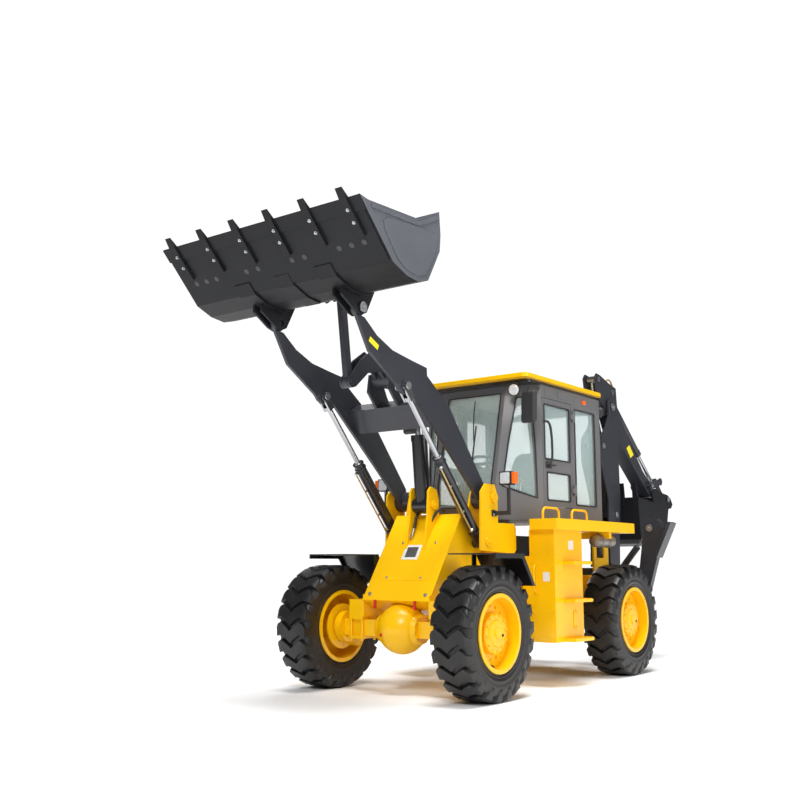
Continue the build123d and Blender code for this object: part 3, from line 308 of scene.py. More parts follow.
def tyre_mesh():
    bm = bmesh.new()
    bead = 0.326
    outline = [(0.158, bead), (0.163, 0.345), (0.160, 0.352), (0.172, 0.372), (0.1705, 0.377), (0.182, 0.405),
               (0.180, 0.410), (0.187, 0.440), (0.1885, 0.470), (0.184, 0.500), (0.176, 0.522),
               (0.160, 0.5395), (0.130, carcass_radius(0.7)), (0.070, carcass_radius(0.35)),
               (0.0, carcass_radius(0))]
    profile = outline + [(-x, r) for x, r in outline[-2::-1]]
    turns = 132
    rings = []
    for i in range(turns):
        a = 2 * math.pi * i / turns
        rings.append([bm.verts.new((x, r * math.cos(a), r * math.sin(a))) for x, r in profile])
    for i in range(turns):
        here, there = rings[i], rings[(i + 1) % turns]
        for j in range(len(profile)):
            k = (j + 1) % len(profile)
            bm.faces.new((here[j], here[k], there[k], there[j]))
    # each lug is a strip of cross-sections over the width: angle of its middle, outer radius, angular half size
    step = 2 * math.pi / LUGS
    across = [(-1.0, 0.30, 0.470, 0.19), (-0.995, 0.28, 0.520, 0.21), (-0.93, 0.22, TYRE_R - 0.014, 0.27),
              (-0.80, 0.10, TYRE_R - 0.002, 0.33), (-0.62, 0.02, TYRE_R, 0.36), (-0.30, 0.22, TYRE_R, 0.34),
              (0.0, 0.50, TYRE_R, 0.34), (0.30, 0.22, TYRE_R, 0.34), (0.62, 0.02, TYRE_R, 0.36),
              (0.80, 0.10, TYRE_R - 0.002, 0.33), (0.93, 0.22, TYRE_R - 0.014, 0.27),
              (0.995, 0.28, 0.520, 0.21), (1.0, 0.30, 0.470, 0.19)]
    for n in range(LUGS):
        strips = []
        for share, lead, top, half in across:
            x = share * half_width
            mid = n * step + lead * step
            foot = min(top - 0.012, carcass_radius(share) - 0.012) if abs(share) < 0.99 else top - 0.02
            x_foot = x if abs(share) < 0.9 else x * 0.93
            row = []
            for offset, radius, px in ((-half * 1.12, foot, x_foot), (-half, top, x), (half, top, x),
                                       (half * 1.12, foot, x_foot)):
                a = mid + offset * step
                row.append(bm.verts.new((px, radius * math.cos(a), radius * math.sin(a))))
            strips.append(row)
        for a_row, b_row in zip(strips, strips[1:]):
            for i in range(4):
                j = (i + 1) % 4
                bm.faces.new((a_row[i], b_row[i], b_row[j], a_row[j]))
        bm.faces.new(strips[0])
        bm.faces.new(strips[-1][::-1])
    return bm


for corner in ("front_left", "front_right", "rear_left", "rear_right"):
    centre = middle(f"tyre_{corner}")
    side = 1 if "left" in corner else -1
    wheel = f"wheel_{corner}"
    bm = tyre_mesh()
    for v in bm.verts:
        v.co = v.co + centre
    tyre = piece(f"tread_{corner}", bm, RUBBER, wheel, bevel=0.005, smooth=35)
    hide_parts(f"tyre_{corner}")

    face_x = centre.x + side * 0.0655
    cap_x = face_x + side * 0.062
    bm = bmesh.new()
    for n in range(12):
        a = math.radians(30 * n + 8)
        spot = Vector((cap_x, centre.y + 0.158 * math.cos(a), centre.z + 0.158 * math.sin(a)))
        bolt(bm, spot, Vector((side, 0, 0)), 0.010)
    for n in range(16):
        a = math.radians(22.5 * n)
        spot = Vector((face_x, centre.y + 0.232 * math.cos(a), centre.z + 0.232 * math.sin(a)))
        bolt(bm, spot, Vector((side, 0, 0)), 0.012)
    hub = Vector((cap_x, centre.y, centre.z))
    rod(bm, hub, hub + Vector((side * 0.016, 0, 0)), 0.118, 48, 0.105)
    rod(bm, hub, hub + Vector((side * 0.030, 0, 0)), 0.050, 32, 0.044)
    piece(f"hub_detail_{corner}", bm, YELLOW, wheel, 0.002)
    bm = bmesh.new()
    valve = Vector((face_x, centre.y, centre.z - 0.275))
    rod(bm, valve, valve + Vector((side * 0.035, 0, -0.012)), 0.007, 12)
    plug = Vector((cap_x + side * 0.014, centre.y + 0.075, centre.z - 0.02))
    rod(bm, plug, plug + Vector((side * 0.012, 0, 0)), 0.013, 6)
    piece(f"valve_{corner}", bm, TRIM, wheel, 0.001)

# ---- Nose: access panel, blank plate, bolts and the tilt hoses ------------------------------------
slope_low, slope_high = at(0, -0.118, 0.848), at(0, 0.420, 1.660)
slope = (slope_high - slope_low).normalized()
off_nose = Vector((0, -slope.z, slope.y))


def on_nose(x, up, out=0.0):
    """A point on the sloping face: X, distance up from its bottom edge, and how far it stands off."""
    return slope_low + Vector((x, 0, 0)) + slope * up + off_nose * out


def rounded(width_from, width_to, low, high, r, top_r=None, steps=6):
    """A rectangle's outline as (across, up) pairs, with rounded corners."""
    top_r = r if top_r is None else top_r
    found = []
    for cx, cy, radius, start in ((width_to - r, low + r, r, -90), (width_to - top_r, high - top_r, top_r, 0),
                                  (width_from + top_r, high - top_r, top_r, 90), (width_from + r, low + r, r, 180)):
        for i in range(steps + 1):
            a = math.radians(start + 90 * i / steps)
            found.append((cx + radius * math.cos(a), cy + radius * math.sin(a)))
    return found


bm = bmesh.new()
prism(bm, [on_nose(x, up, 0.0) for x, up in rounded(-0.30, 0.30, 0.22, 0.66, 0.05, 0.012)], off_nose * 0.005)
prism(bm, [on_nose(x, up, 0.0) for x, up in rounded(-0.392, 0.392, 0.02, 0.965, 0.005)], off_nose * 0.0012)
piece("nose_panel", bm, YELLOW, "front_chassis", 0.002)
bm = bmesh.new()
prism(bm, [on_nose(x, up, 0.005) for x, up in rounded(-0.115, 0.075, 0.45, 0.615, 0.006)], off_nose * 0.002)
piece("nose_plate", bm, LABEL, "front_chassis", 0.0006)
bm = bmesh.new()
prism(bm, [on_nose(x, up, 0.007) for x, up in rounded(-0.085, 0.045, 0.475, 0.59, 0.003)], off_nose * 0.0008)
piece("nose_plate_field", bm, STEEL, "front_chassis", 0)
bm = bmesh.new()
for x in (-0.325, 0.325):
    bolt(bm, on_nose(x, 0.065), off_nose, 0.013)
for x, up in ((-0.20, 0.245), (0.20, 0.245), (-0.17, 0.64), (0.22, 0.64)):
    bolt(bm, on_nose(x, up, 0.005), off_nose, 0.008)
for x in (-0.08, 0.10):
    rod(bm, on_nose(x, 0.70), on_nose(x, 0.70, 0.035), 0.020, 6)
    rod(bm, on_nose(x, 0.70, 0.02), on_nose(x, 0.80, 0.035), 0.014, 12)
piece("nose_fittings", bm, STEEL, "front_chassis", 0.0015)
for number, (x, over) in enumerate(((-0.08, -0.045), (0.10, 0.155))):
    hose(f"tilt_hose_{number}", [on_nose(x, 0.79, 0.035), on_nose(x, 0.86, 0.05), on_nose(x + over * 0.3, 0.95, 0.07),
                                 at(over, 0.40, 1.72), at(over, 0.47, 1.69)],
         0.014, HOSE, "front_chassis")
bm = bmesh.new()
for side in (-1, 1):
    slab(bm, (side * 0.22, side * 0.245), (-0.135, -0.115), (0.770, 0.850))
piece("nose_red_stops", bm, RED, "front_chassis", 0.002)
for side, word in ((1, "left"), (-1, "right")):
    for number, (s0, s1) in enumerate(((0.24, 0.40), (0.31, 0.43))):
        hose(f"tower_hose_{word}_{number}",
             [at(side * 0.395, s0, 0.86), at(side * 0.43, s0 - 0.02, 0.94), at(side * 0.45, s0, 1.03),
              at(side * 0.45, (s0 + s1) / 2, 1.07), at(side * 0.44, s1, 1.04), at(side * 0.395, s1 + 0.03, 0.96)],
             0.017, HOSE, "front_chassis")

# ---- Towers: pin keepers and hydraulic unions -----------------------------------------------------
bm = bmesh.new()
for side in (-1, 1):
    out = Vector((side, 0, 0))
    pin = at(side * 0.594, 0.690, 1.820)
    rod(bm, pin, pin + out * 0.010, 0.054, 32)
    for a in range(0, 360, 90):
        bolt(bm, pin + Vector((side * 0.010, 0.034 * math.cos(math.radians(a)), 0.034 * math.sin(math.radians(a)))),
             out, 0.007)
    for spot in (at(side * 0.580, 0.59, 1.39), at(side * 0.132, 0.335, 1.750)):
        rod(bm, spot, spot + out * 0.012, 0.046, 32)
        bolt(bm, spot + out * 0.012, out, 0.010)
piece("tower_pin_caps", bm, YELLOW, "front_chassis", 0.0015)

# ---- Axles: hub bolt circles and drain plugs -------------------- ------------------------------------
for word, station, body in (("front", 0.0, "front_chassis"), ("rear", WHEELBASE, "rear_chassis")):
    bm = bmesh.new()
    centre = at(0, station, WHEEL_Z)
    for side in (-1, 1):
        x0 = side * 0.715
        for n in range(12):
            a = math.radians(30 * n + 15)
            spot = Vector((x0, centre.y + 0.125 * math.cos(a), centre.z + 0.125 * math.sin(a)))
            bolt(bm, spot, Vector((side, 0, 0)), 0.009)
        rod(bm, Vector((side * 0.19, centre.y, centre.z)), Vector((side * 0.235, centre.y, centre.z)), 0.150, 40,
            0.130)
        for n in range(10):
            a = math.radians(36 * n)
            spot = Vector((side * 0.235, centre.y + 0.118 * math.cos(a), centre.z + 0.118 * math.sin(a)))
            bolt(bm, spot, Vector((side, 0, 0)), 0.008)
    piece(f"{word}_axle_bolts", bm, YELLOW, body, 0.0015)
    bm = bmesh.new()
    nose_dir = Vector((-0.35, -0.90, -0.20)).normalized()
    spot = centre + nose_dir * 0.232
    rod(bm, spot, spot + nose_dir * 0.014, 0.017, 6)
    piece(f"{word}_axle_plug", bm, RED, body, 0.001)

# ---- Loader arms, cylinders and bucket ------------------------------------------------------------
for side, word in ((1, "left"), (-1, "right")):
    base, eye = at(side * 0.48, *LIFT_BASE), at(side * 0.48, *LIFT_EYE)
    run = (eye - base).normalized()
    front = Vector((0, -run.z, run.y))
    lift_body = f"lift_{word}_barrel_body"
    bm = bmesh.new()
    for d, r, thick in ((0.965, 0.060, 0.012), (1.018, 0.057, 0.010), (0.13, 0.058, 0.014)):
        rod(bm, base + run * d, base + run * (d + thick), r, 40)
    piece(f"lift_bands_{word}", bm, GREY, lift_body, 0.0015)
    bm = bmesh.new()
    wiper = base + run * 1.030
    rod(bm, wiper, wiper + run * 0.008, 0.040, 40, 0.034)
    for d in (0.20, 0.945):
        spot = base + run * d + Vector((side * 0.03, 0, 0)) + front * 0.045
        rod(bm, spot, spot + front * 0.030, 0.017, 6)
    for d in (0.42, 0.72):
        clip = base + run * d + Vector((side * 0.03, 0, 0)) + front * 0.040
        rod(bm, clip, clip + front * 0.030, 0.009, 12)
    piece(f"lift_unions_{word}", bm, STEEL, lift_body, 0.001)
    line = front * 0.068 + Vector((side * 0.03, 0, 0))
    hose(f"lift_pipe_{word}", [base + run * 0.20 + line, base + run * 0.26 + line, base + run * 0.60 + line,
                               base + run * 0.90 + line, base + run * 0.945 + line], 0.0085, BRASS, lift_body)
    # blank yellow label near the arm's front end, outer face
    face = side * 0.4955
    bm = bmesh.new()
    prism(bm, [at(face, s, z) for s, z in ((-1.105, 3.115), (-0.985, 3.055), (-1.005, 3.010), (-1.125, 3.070))],
          Vector((side * 0.0012, 0, 0)))
    piece(f"arm_label_{word}", bm, YELLOW_LABEL, "arms", 0)
    bm = bmesh.new()
    out = Vector((side, 0, 0))
    for x in (0.540, 0.420):
        spot = at(side * x, *LIFT_EYE)
        rod(bm, spot, spot + out * 0.008 * (1 if x > 0.48 else -1), 0.036, 32)
    piece(f"arm_pin_caps_{word}", bm, STEEL, "arms", 0.001)
    bm = bmesh.new()
    spot = at(side * 0.539, -1.255, 3.336)
    rod(bm, spot, spot + out * 0.010, 0.046, 36)
    bolt(bm, spot + out * 0.010 + Vector((0, 0.018, 0.014)), out, 0.009)
    piece(f"bucket_pin_cap_{word}", bm, STEEL, "arms", 0.001)

edge_low, edge_high = at(0, -2.035, 3.967), at(0, -1.622, 3.532)
floor_run = (edge_high - edge_low).normalized()
under = Vector((0, floor_run.z, -floor_run.y))


def on_floor(x, down, out=0.0):
    return edge_low + Vector((x, 0, 0)) + floor_run * down + under * out


bm = bmesh.new()
prism(bm, [on_floor(x, d, 0.0) for x, d in ((-BUCKET_CHEEK_X, 0.0), (BUCKET_CHEEK_X, 0.0), (BUCKET_CHEEK_X, 0.13),
                                           (-BUCKET_CHEEK_X, 0.13))],
      under * 0.016)
prism(bm, [on_floor(x, d, 0.0) for x, d in ((-1.125, 0.13), (1.125, 0.13), (1.125, 0.58), (-1.125, 0.58))],
      under * 0.009)
# the bucket's back, from the floor's rear edge round to the ears
back_line = [(-1.700, 3.614), (-1.622, 3.532), (-1.450, 3.463), (-1.289, 3.443), (-1.170, 3.477)]


def back_strip(bm, x0, x1, points, thick):
    """A plate of one thickness wrapped round the bucket's back."""
    flat = [at(0, s, z) for s, z in points]
    outer = []
    for i, p in enumerate(flat):
        along = flat[min(i + 1, len(flat) - 1)] - flat[max(i - 1, 0)]
        outer.append(p + Vector((0, along.z, -along.y)).normalized() * thick)
    for (a, b), (c, d) in zip(zip(flat, flat[1:]), zip(outer, outer[1:])):
        prism(bm, [a + Vector((x0, 0, 0)), b + Vector((x0, 0, 0)), d + Vector((x0, 0, 0)), c + Vector((x0, 0, 0))],
              Vector((x1 - x0, 0, 0)))


for x in (-0.471, 0.471):
    back_strip(bm, x - 0.095, x + 0.095, back_line, 0.020)
back_strip(bm, -0.085, 0.085, back_line[:4], 0.014)
# plates over the whole outer sides carry the lighter bucket paint, as painted light
for side in (-1, 1):
    cheek_plate = bmesh.new()
    cheek = [(-1.560, 3.565), (-1.440, 3.505), (-1.300, 3.487), (-1.190, 3.525), (-1.110, 3.640), (-1.040, 3.775),
             (-1.030, 3.900), (-1.300, 3.905), (-1.560, 3.885), (-1.700, 3.870), (-1.745, 3.830), (-1.730, 3.770)]
    prism(cheek_plate, [at(side * BUCKET_CHEEK_X, s, z) for s, z in cheek], Vector((side * 0.010, 0, 0)))
    rail = [(-1.900, 3.932), (-1.300, 3.945), (-1.020, 4.085), (-1.010, 4.045), (-1.290, 3.912), (-1.890, 3.898)]
    prism(cheek_plate, [at(side * BUCKET_CHEEK_X, s, z) for s, z in rail], Vector((side * 0.012, 0, 0)))
    piece(f"bucket_cheek_{'left' if side > 0 else 'right'}", cheek_plate, CHEEK_PAINTED_LIGHT, "loader_bucket_body",
          0.003)
piece("bucket_plates", bm, BUCKET_PAINTED_SHADE, "loader_bucket_body", 0.003)
# thin black discs on the floor plate stand for holes: their black is painted shade of the holes' insides
bm = bmesh.new()
for side in (-1, 1):
    for x in (0.98, 0.85, 0.72, 0.34, 0.20):
        spot = on_floor(side * x, 0.385, 0.0093)
        rod(bm, spot, spot + under * 0.0008, 0.024, 28)
piece("bucket_floor_hole_painted_shade", bm, BLACK, "loader_bucket_body", 0)
bm = bmesh.new()
for n in range(6):
    x = -0.997 + n * 0.3988
    for d in (0.09, 0.20):
        bolt(bm, on_floor(x, d, 0.036), under, 0.010)
piece("bucket_tooth_bolts", bm, STEEL, "loader_bucket_body", 0.001)

# ---- Cab: rubber seals, handles, mirrors, lamps and wiper ------------------------------------------
def seal(name, loops, body, r=0.009):
    """Rubber beads round window openings: closed lines through each loop's points."""
    curve = bpy.data.curves.new(name, "CURVE")
    curve.dimensions, curve.bevel_depth, curve.bevel_resolution = "3D", r, 3
    for loop in loops:
        line = curve.splines.new("POLY")
        line.points.add(len(loop) - 1)
        for p, q in zip(line.points, loop):
            p.co = (*q, 1)
        line.use_cyclic_u = True
    obj = bpy.data.objects.new(name, curve)
    scene.collection.objects.link(obj)
    curve.materials.append(TRIM)
    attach(obj, body)


def cab_front(z):
    """The station of the cab's front face at a height."""
    return 1.060 + 0.235 * max(0.0, (z - 2.0) / 1.03)


def on_quarter(side, station, z):
    """A point on the angled panel between the cab's front and its side."""
    f = cab_front(z)
    share = (station - f) / (1.430 - f)
    return at(side * (0.380 + 0.340 * share + 0.002), station - 0.002, z)


seal("windscreen_seal", [[at(x, cab_front(z) - 0.003, z) for x, z in
                          ((-0.33, 1.76), (0.33, 1.76), (0.33, 2.0), (0.33, 2.95), (-0.33, 2.95), (-0.33, 2.0))]],
     "rear_chassis")
loops = []
for side in (-1, 1):
    loops.append([on_quarter(side, s, z) for s, z in ((1.112, 1.970), (1.250, 1.908), (1.385, 1.850), (1.385, 2.4),
                                                      (1.385, 2.9), (1.318, 2.9), (1.215, 2.44))])
    loops.append([at(side * 0.722, s, z) for s, z in rounded(2.15, 2.62, 1.81, 2.85, 0.02)])
seal("side_window_seals", loops, "rear_chassis")
seal("rear_window_seal", [[at(x, 2.762, z) for x, z in rounded(-0.6, 0.6, 1.81, 2.88, 0.03)]], "rear_chassis")
for side, word in ((1, "left"), (-1, "right")):
    seal(f"door_seals_{word}", [[at(side * 0.722, s, z) for s, z in rounded(*w, 0.015)] for w in
                                ((1.480, 2.025, 2.260, 2.830), (1.520, 2.016, 1.835, 2.120))], f"{word}_door")
    door = f"{word}_door"
    x = side * 0.722
    hose(f"door_grab_{word}", [at(x, 1.470, 2.640), at(x + side * 0.045, 1.480, 2.660),
                               at(x + side * 0.052, 1.530, 2.600), at(x + side * 0.052, 1.545, 2.400),
                               at(x + side * 0.052, 1.545, 2.260), at(x + side * 0.045, 1.535, 2.215),
                               at(x, 1.500, 2.200)], 0.0125, TRIM, door)
    bm = bmesh.new()
    slab(bm, (x, x + side * 0.014), (1.495, 1.600), (2.165, 2.225))
    slab(bm, (x + side * 0.014, x + side * 0.040), (1.515, 1.545), (2.180, 2.210))
    slab(bm, (x + side * 0.028, x + side * 0.042), (1.520, 1.640), (2.186, 2.204))
    piece(f"door_latch_{word}", bm, TRIM, door, 0.004)
    bm = bmesh.new()
    slab(bm, (side * 0.721, side * 0.7245), (1.505, 1.740), (2.925, 3.005))
    slab(bm, (side * 0.721, side * 0.7245), (1.790, 1.990), (2.925, 3.005))
    piece(f"header_covers_{word}", bm, CAB, "rear_chassis", 0.002)
    bm = bmesh.new()
    slab(bm, (side * 0.720, side * 0.742), (2.330, 2.400), (2.930, 2.975))
    piece(f"side_marker_{word}", bm, AMBER, "rear_chassis", 0.006)

    # mirror on its arm, ahead of the cab's front corner
    bm = bmesh.new()
    for v in slab(bm, (side * 0.665, side * 0.835), (1.085, 1.150), (2.590, 2.915)):
        v.co.x += side * (0.01 if v.co.z > 2.8 else 0)
    mirror = piece(f"mirror_{word}", bm, TRIM, "rear_chassis", 0.032, 60)
    mirror.modifiers["edge"].segments = 5
    bm = bmesh.new()
    prism(bm, [at(side * u, 1.1505, z) for u, z in rounded(0.697, 0.803, 2.625, 2.880, 0.02)], Vector((0, 0.002, 0)))
    piece(f"mirror_face_{word}", bm, MIRROR, "rear_chassis", 0)
    hose(f"mirror_arm_{word}", [at(side * 0.750, 1.115, 2.895), at(side * 0.755, 1.115, 2.985),
                                at(side * 0.740, 1.220, 3.000), at(side * 0.700, 1.415, 2.990)],
         0.0095, TRIM, "rear_chassis")

    # round work lamps: front under the roof's corner, rear at the cab's back corner
    for label, spot, gaze_to in (("front", at(side * 0.560, 1.165, 2.955), Vector((side * 0.12, -1, -0.16))),
                                 ("rear", at(side * 0.690, 2.800, 2.900), Vector((side * 0.2, 1, -0.2)))):
        gaze_to.normalize()
        bm = bmesh.new()
        rod(bm, spot - gaze_to * 0.045, spot, 0.030, 32, 0.066)
        rod(bm, spot, spot + gaze_to * 0.020, 0.068, 32)
        slab(bm, (spot.x - 0.012, spot.x + 0.012), (spot.y - AXLE_Y - 0.010, spot.y - AXLE_Y + 0.014),
             (spot.z + 0.02, 3.062))
        piece(f"work_lamp_{label}_{word}", bm, TRIM, "rear_chassis", 0.003)
        bm = bmesh.new()
        rod(bm, spot + gaze_to * 0.020, spot + gaze_to * 0.030, 0.058, 32, 0.046)
        piece(f"work_lens_{label}_{word}", bm, LAMP, "rear_chassis", 0.003)

    # headlamp: bezel, lens, indicator and clamp bolts
    bm = bmesh.new()
    prism(bm, [at(side * u, 0.640, z) for u, z in rounded(0.697, 0.803, 1.947, 2.053, 0.018)],
          Vector((0, -0.010, 0)))
    piece(f"headlamp_lens_{word}", bm, LAMP, "front_chassis", 0.004)
    bm = bmesh.new()
    slab(bm, (side * 0.818, side * 0.862), (0.642, 0.702), (1.945, 2.056))
    piece(f"indicator_{word}", bm, AMBER, "front_chassis", 0.008)
    bm = bmesh.new()
    for s, z in ((0.680, 1.655), (0.720, 1.685)):
        bolt(bm, at(side * 0.592, s, z), Vector((side, 0, 0)), 0.009)
    bolt(bm, at(side * 0.752, 0.685, 1.925), Vector((0, -1, 0)), 0.009)
    piece(f"headlamp_bolts_{word}", bm, STEEL, "front_chassis", 0.001)

hose("wiper_arm", [at(0.02, cab_front(2.90) - 0.012, 2.900), at(0.03, cab_front(2.7) - 0.028, 2.700),
                   at(0.07, cab_front(2.45) - 0.026, 2.450)], 0.006, TRIM, "rear_chassis")
hose("wiper_blade", [at(0.07, cab_front(2.62) - 0.013, 2.620), at(0.07, cab_front(2.4) - 0.013, 2.400),
                     at(0.07, cab_front(2.14) - 0.013, 2.140)], 0.008, TRIM, "rear_chassis")

# ---- Cab interior: seat and levers -----------------------------------------------------------------
seat_low, seat_high = (Vector(c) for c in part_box("operator_seat"))


def pad(name, sections, crown):
    """A stuffed form lofted through rings, each (centre, half width, half depth, up axis)."""
    bm = bmesh.new()
    rings = []
    for centre, half, deep, across, normal in sections:
        ring = []
        for i in range(24):
            a = 2 * math.pi * i / 24
            c, d = math.cos(a), math.sin(a)
            ring.append(bm.verts.new(centre + across * half * math.copysign(abs(c) ** 0.45, c)
                                     + normal * deep * math.copysign(abs(d) ** crown, d)))
        rings.append(ring)
    for a, b in zip(rings, rings[1:]):
        for i in range(24):
            j = (i + 1) % 24
            bm.faces.new((a[i], a[j], b[j], b[i]))
    bm.faces.new(rings[0])
    bm.faces.new(rings[-1][::-1])
    obj = piece(name, bm, VINYL, "rear_chassis", 0, 180)
    obj.modifiers.new("soft", "SUBSURF").levels = 1
    obj.modifiers["soft"].render_levels = 2
    return obj


X, UP = Vector((1, 0, 0)), Vector((0, 0, 1))
cushion_z = seat_low.z + 0.072
cushion = pad("seat_cushion", [(at(0, s, cushion_z), w, d, X, UP) for s, w, d in
                               ((1.905, 0.16, 0.030), (1.920, 0.215, 0.055), (1.98, 0.235, 0.066),
                                (2.08, 0.236, 0.060), (2.19, 0.235, 0.062), (2.30, 0.228, 0.062),
                                (2.345, 0.205, 0.045))], 0.55)
lean = (at(0, 2.435, seat_high.z) - at(0, 2.335, seat_low.z + 0.13)).normalized()
back_normal = Vector((0, lean.z, -lean.y))
start = at(0, 2.335, seat_low.z + 0.125)
backrest = pad("seat_backrest", [(start + lean * d, w, t, X, back_normal) for d, w, t in
                                 ((0.0, 0.17, 0.030), (0.02, 0.210, 0.050), (0.12, 0.232, 0.058),
                                  (0.24, 0.228, 0.052), (0.34, 0.205, 0.050), (0.40, 0.165, 0.045),
                                  (0.425, 0.120, 0.028))], 0.55)
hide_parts("operator_seat")
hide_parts("operator_seat")
for number, (x, s) in enumerate(((0.26, 1.62), (0.32, 1.62), (-0.30, 1.58))):
    top = at(x + 0.01, s + 0.03, 2.06)
    hose(f"lever_{number}", [at(x, s, 1.640), at(x, s, 1.80), at(x, s + 0.02, 1.95), top], 0.008, STEEL,
         "rear_chassis")
    bm = bmesh.new()
    bmesh.ops.create_uvsphere(bm, u_segments=24, v_segments=14, radius=0.024, matrix=Matrix.Translation(top))
    piece(f"lever_knob_{number}", bm, TRIM, "rear_chassis", 0)

# ---- Side boxes: hatches, handles, blank squares and step treads -----------------------------------
for side, word in ((1, "left"), (-1, "right")):
    out = Vector((side, 0, 0))
    face = side * BOX_FACE_X
    bm = bmesh.new()
    oval = [at(face, 1.560 + 0.045 * math.cos(math.radians(a)), 0.640 + (0.05 if 0 <= a < 180 else -0.05)
            + 0.045 * math.sin(math.radians(a))) for a in range(0, 360, 15)]
    prism(bm, oval, out * 0.008)
    for s, z in ((1.560, 0.710), (1.560, 0.570)):
        bolt(bm, at(face + side * 0.008, s, z), out, 0.006)
    piece(f"box_hatch_{word}", bm, YELLOW, "rear_chassis", 0.002)
    bm = bmesh.new()
    prism(bm, [at(face, 1.500 + u, 1.370 + v) for u, v in rounded(-0.05, 0.05, -0.045, 0.045, 0.004)],
          out * 0.0012)
    prism(bm, [at(side * (0.885 + u), BOX_FRONT_S, 1.060 + v)
               for u, v in rounded(-0.036, 0.036, -0.045, 0.045, 0.004)],
          Vector((0, -0.0012, 0)))
    piece(f"box_label_{word}", bm, LABEL, "rear_chassis", 0)
    hose(f"box_handle_{word}", [at(side * 0.77, s, z) for s, z in
                                ((1.160, 1.170), (1.120, 1.175), (1.115, 1.110), (1.115, 0.970), (1.120, 0.905),
                                 (1.160, 0.910))], 0.010, YELLOW,
         "rear_chassis")
    bm = bmesh.new()
    for z in (1.30, 0.72, 0.50):
        bolt(bm, at(side * 0.72, BOX_FRONT_S, z), Vector((0, -1, 0)), 0.009)
        bolt(bm, at(side * 0.93, BOX_FRONT_S, z), Vector((0, -1, 0)), 0.009)
    piece(f"box_bolts_{word}", bm, YELLOW, "rear_chassis", 0.001)
    bm = bmesh.new()
    for top in (0.463, 0.840, 1.209):
        for n in range(9):
            s = 1.350 + n * 0.044
            slab(bm, (side * 0.990, side * 1.090), (s, s + 0.014), (top, top + 0.004))
    piece(f"step_treads_{word}", bm, YELLOW, "rear_chassis", 0.001)
    bm = bmesh.new()
    for n in range(26):
        s = 1.46 + n * 0.052
        slab(bm, (side * 0.765, side * 1.030), (s, s + 0.012), (1.625, 1.6285))
    piece(f"deck_treads_{word}", bm, YELLOW, "rear_chassis", 0.001)
    bm = bmesh.new()
    can = [(2.16, 0.030), (2.18, 0.062), (2.20, 0.066), (2.56, 0.066), (2.58, 0.062), (2.60, 0.030)]
    for (s0, r0), (s1, r1) in zip(can, can[1:]):
        rod(bm, at(side * 0.900, s0, 1.425), at(side * 0.900, s1, 1.425), r0, 32, r1)
    for s0 in (2.27, 2.47):
        rod(bm, at(side * 0.900, s0, 1.425), at(side * 0.900, s0 + 0.02, 1.425), 0.070, 32)
        slab(bm, (side * 0.890, side * 0.910), (s0, s0 + 0.02), (1.480, 1.517))
    piece(f"air_tank_{word}", bm, MUFFLER, "rear_chassis", 0.002)

# ---- Backhoe: pin caps, pipes, labels and stabilizer fittings --------------------------------------
def caps(name, body, spots, half, r=0.042, thick=0.009, head=0.010):
    """Bolted round keepers on both ends of cross pins at (station, height) spots."""
    bm = bmesh.new()
    for s, z in spots:
        for side in (-1, 1):
            spot = at(HOE_X + side * half, s, z)
            out = Vector((side, 0, 0))
            rod(bm, spot, spot + out * thick, r, 32)
            if head:
                bolt(bm, spot + out * thick, out, head)
    piece(name, bm, STEEL, body, 0.001)


caps("boom_caps", "boom_body", (BOOM_RAM_PIN, STICK_RAM_BASE), 0.138, 0.036)
caps("boom_head_caps", "boom_body", (STICK_PIVOT,), 0.142, 0.048)
caps("boom_foot_caps", "swing_post_body", (BOOM_FOOT,), 0.140, 0.046)
caps("stick_caps", "stick_body", (STICK_HEAD, HOE_RAM_BASE), 0.093, 0.034, 0.003, 0)
caps("rocker_caps", "stick_body", (ROCKER_PIVOT,), 0.143, 0.036)
caps("bucket_caps", "hoe_bucket_body", (HOE_BUCKET_PIN,), 0.125, 0.036)


def ram_trim(word, body, base, eye, barrel, gland_at, x_off):
    """A ram's gland ring, wiper, pipe and unions, on its barrel's body. x_off sets the pipe off the axis."""
    run = (eye - base).normalized()
    bm = bmesh.new()
    rod(bm, base + run * (gland_at - 0.05), base + run * (gland_at - 0.038), barrel + 0.004, 36)
    piece(f"{word}_band", bm, GREY, body, 0.001)
    bm = bmesh.new()
    tip = base + run * gland_at
    rod(bm, tip, tip + run * 0.006, barrel * 0.72, 36, barrel * 0.64)
    near, far = base + run * 0.16 + x_off, base + run * (gland_at - 0.085) + x_off
    out = x_off.normalized()
    for spot in (near, far):
        rod(bm, spot - out * 0.022, spot + out * 0.006, 0.014, 6)
    piece(f"{word}_unions", bm, STEEL, body, 0.001)
    hose(f"{word}_pipe", [near, near + run * 0.05, base + run * gland_at * 0.55 + x_off, far - run * 0.05, far],
         0.0075, BRASS, body)


ram_trim("stick_ram", "stick_ram_barrel_body", at(HOE_X, *STICK_RAM_BASE), at(HOE_X, *STICK_HEAD), 0.052, 0.920,
         Vector((0.0, 0.0613, 0.0103)))
ram_trim("hoe_ram", "hoe_ram_barrel_body", at(HOE_X, *HOE_RAM_BASE), at(HOE_X, *HOE_RAM_EYE), 0.046, 1.120,
         Vector((0.0, 0.037, 0.045)))
ram_trim("boom_ram", "boom_ram_barrel_body", at(HOE_X, *BOOM_RAM_BASE), at(HOE_X, *BOOM_RAM_PIN), 0.055, 1.010,
         Vector((0.0, -0.066, -0.003)))
bm = bmesh.new()
for side in (-1, 1):
    face = HOE_X + side * 0.085
    prism(bm, [at(face, s, z) for s, z in ((4.250, 2.640), (4.340, 2.690), (4.455, 2.575), (4.365, 2.525))],
          Vector((side * 0.0012, 0, 0)))
piece("stick_label", bm, YELLOW_LABEL, "stick_body", 0)
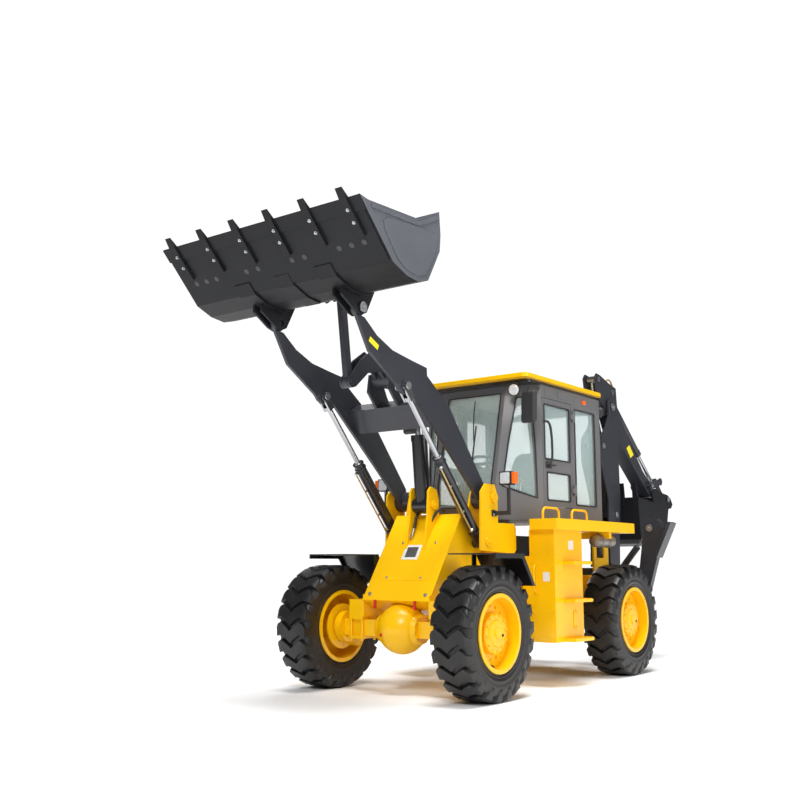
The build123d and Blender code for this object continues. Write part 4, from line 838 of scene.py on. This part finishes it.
for number, dx in enumerate((-0.035, 0.035)):
    hose(f"stick_head_hose_{number}", [at(HOE_X + dx, 3.80, 3.425), at(HOE_X + dx, 3.86, 3.500),
                                       at(HOE_X + dx, 3.98, 3.480), at(HOE_X + dx, 4.02, 3.385),
                                       at(HOE_X + dx, 4.01, 3.330)], 0.011,
         material(f"amber_hose_{number}", (0.42, 0.24, 0.06), 0.45, vary=0.15, grain=800, bump=0.2), "stick_body")
for side, word in ((1, "left"), (-1, "right")):
    body = f"stabilizer_{word}_body"
    bm = bmesh.new()
    for s in (3.375, 3.455):
        spot = at(side * 1.007, s, 1.590)
        out = Vector((0, -1 if s < 3.4 else 1, 0))
        rod(bm, spot + out * 0.010, spot + out * 0.020, 0.040, 32)
        bolt(bm, spot + out * 0.020, out, 0.010)
    piece(f"stabilizer_caps_{word}", bm, STEEL, body, 0.001)

# ---- Floor and light ------------------------------------------------------------------------------
mesh = bpy.data.meshes.new("floor")
mesh.from_pydata([(-60, -60, 0), (60, -60, 0), (60, 60, 0), (-60, 60, 0)], [], [(0, 1, 2, 3)])
floor = bpy.data.objects.new("floor", mesh)
scene.collection.objects.link(floor)
mesh.materials.append(FLOOR)

# a white studio: the backdrop reads as pure white, while a large soft light overhead makes the contact shadow
world = bpy.data.worlds.new("studio")
world.use_nodes = True
tree = world.node_tree
backdrop = tree.nodes["Background"]
backdrop.inputs["Color"].default_value = (1, 1, 1, 1)
seen = tree.nodes.new("ShaderNodeLightPath")
level = tree.nodes.new("ShaderNodeMapRange")
level.inputs["To Min"].default_value, level.inputs["To Max"].default_value = 0.14, 1.05
tree.links.new(seen.outputs["Is Camera Ray"], level.inputs["Value"])
tree.links.new(level.outputs["Result"], backdrop.inputs["Strength"])
scene.world = world
overhead = bpy.data.lights.new("overhead", "SUN")
overhead.energy, overhead.angle = 3.1, math.radians(26)
overhead_lamp = bpy.data.objects.new("overhead", overhead)
scene.collection.objects.link(overhead_lamp)
overhead_lamp.rotation_euler = Vector((-0.10, 0.12, -1)).to_track_quat("-Z", "Y").to_euler()


def area_light(name, place, target, power, size):
    data = bpy.data.lights.new(name, "AREA")
    data.energy, data.size = power, size
    lamp = bpy.data.objects.new(name, data)
    scene.collection.objects.link(lamp)
    lamp.location = place
    lamp.rotation_euler = (target - place).to_track_quat("-Z", "Y").to_euler()


area_light("key", at(4.5, -8.5, 8.0), at(0, 1.0, 1.4), 700, 4)
area_light("fill", at(9.0, 2.0, 4.5), at(0, 1.5, 1.5), 260, 5)
area_light("rim", at(-7.0, 7.5, 7.0), at(0, 1.0, 2.0), 350, 4)
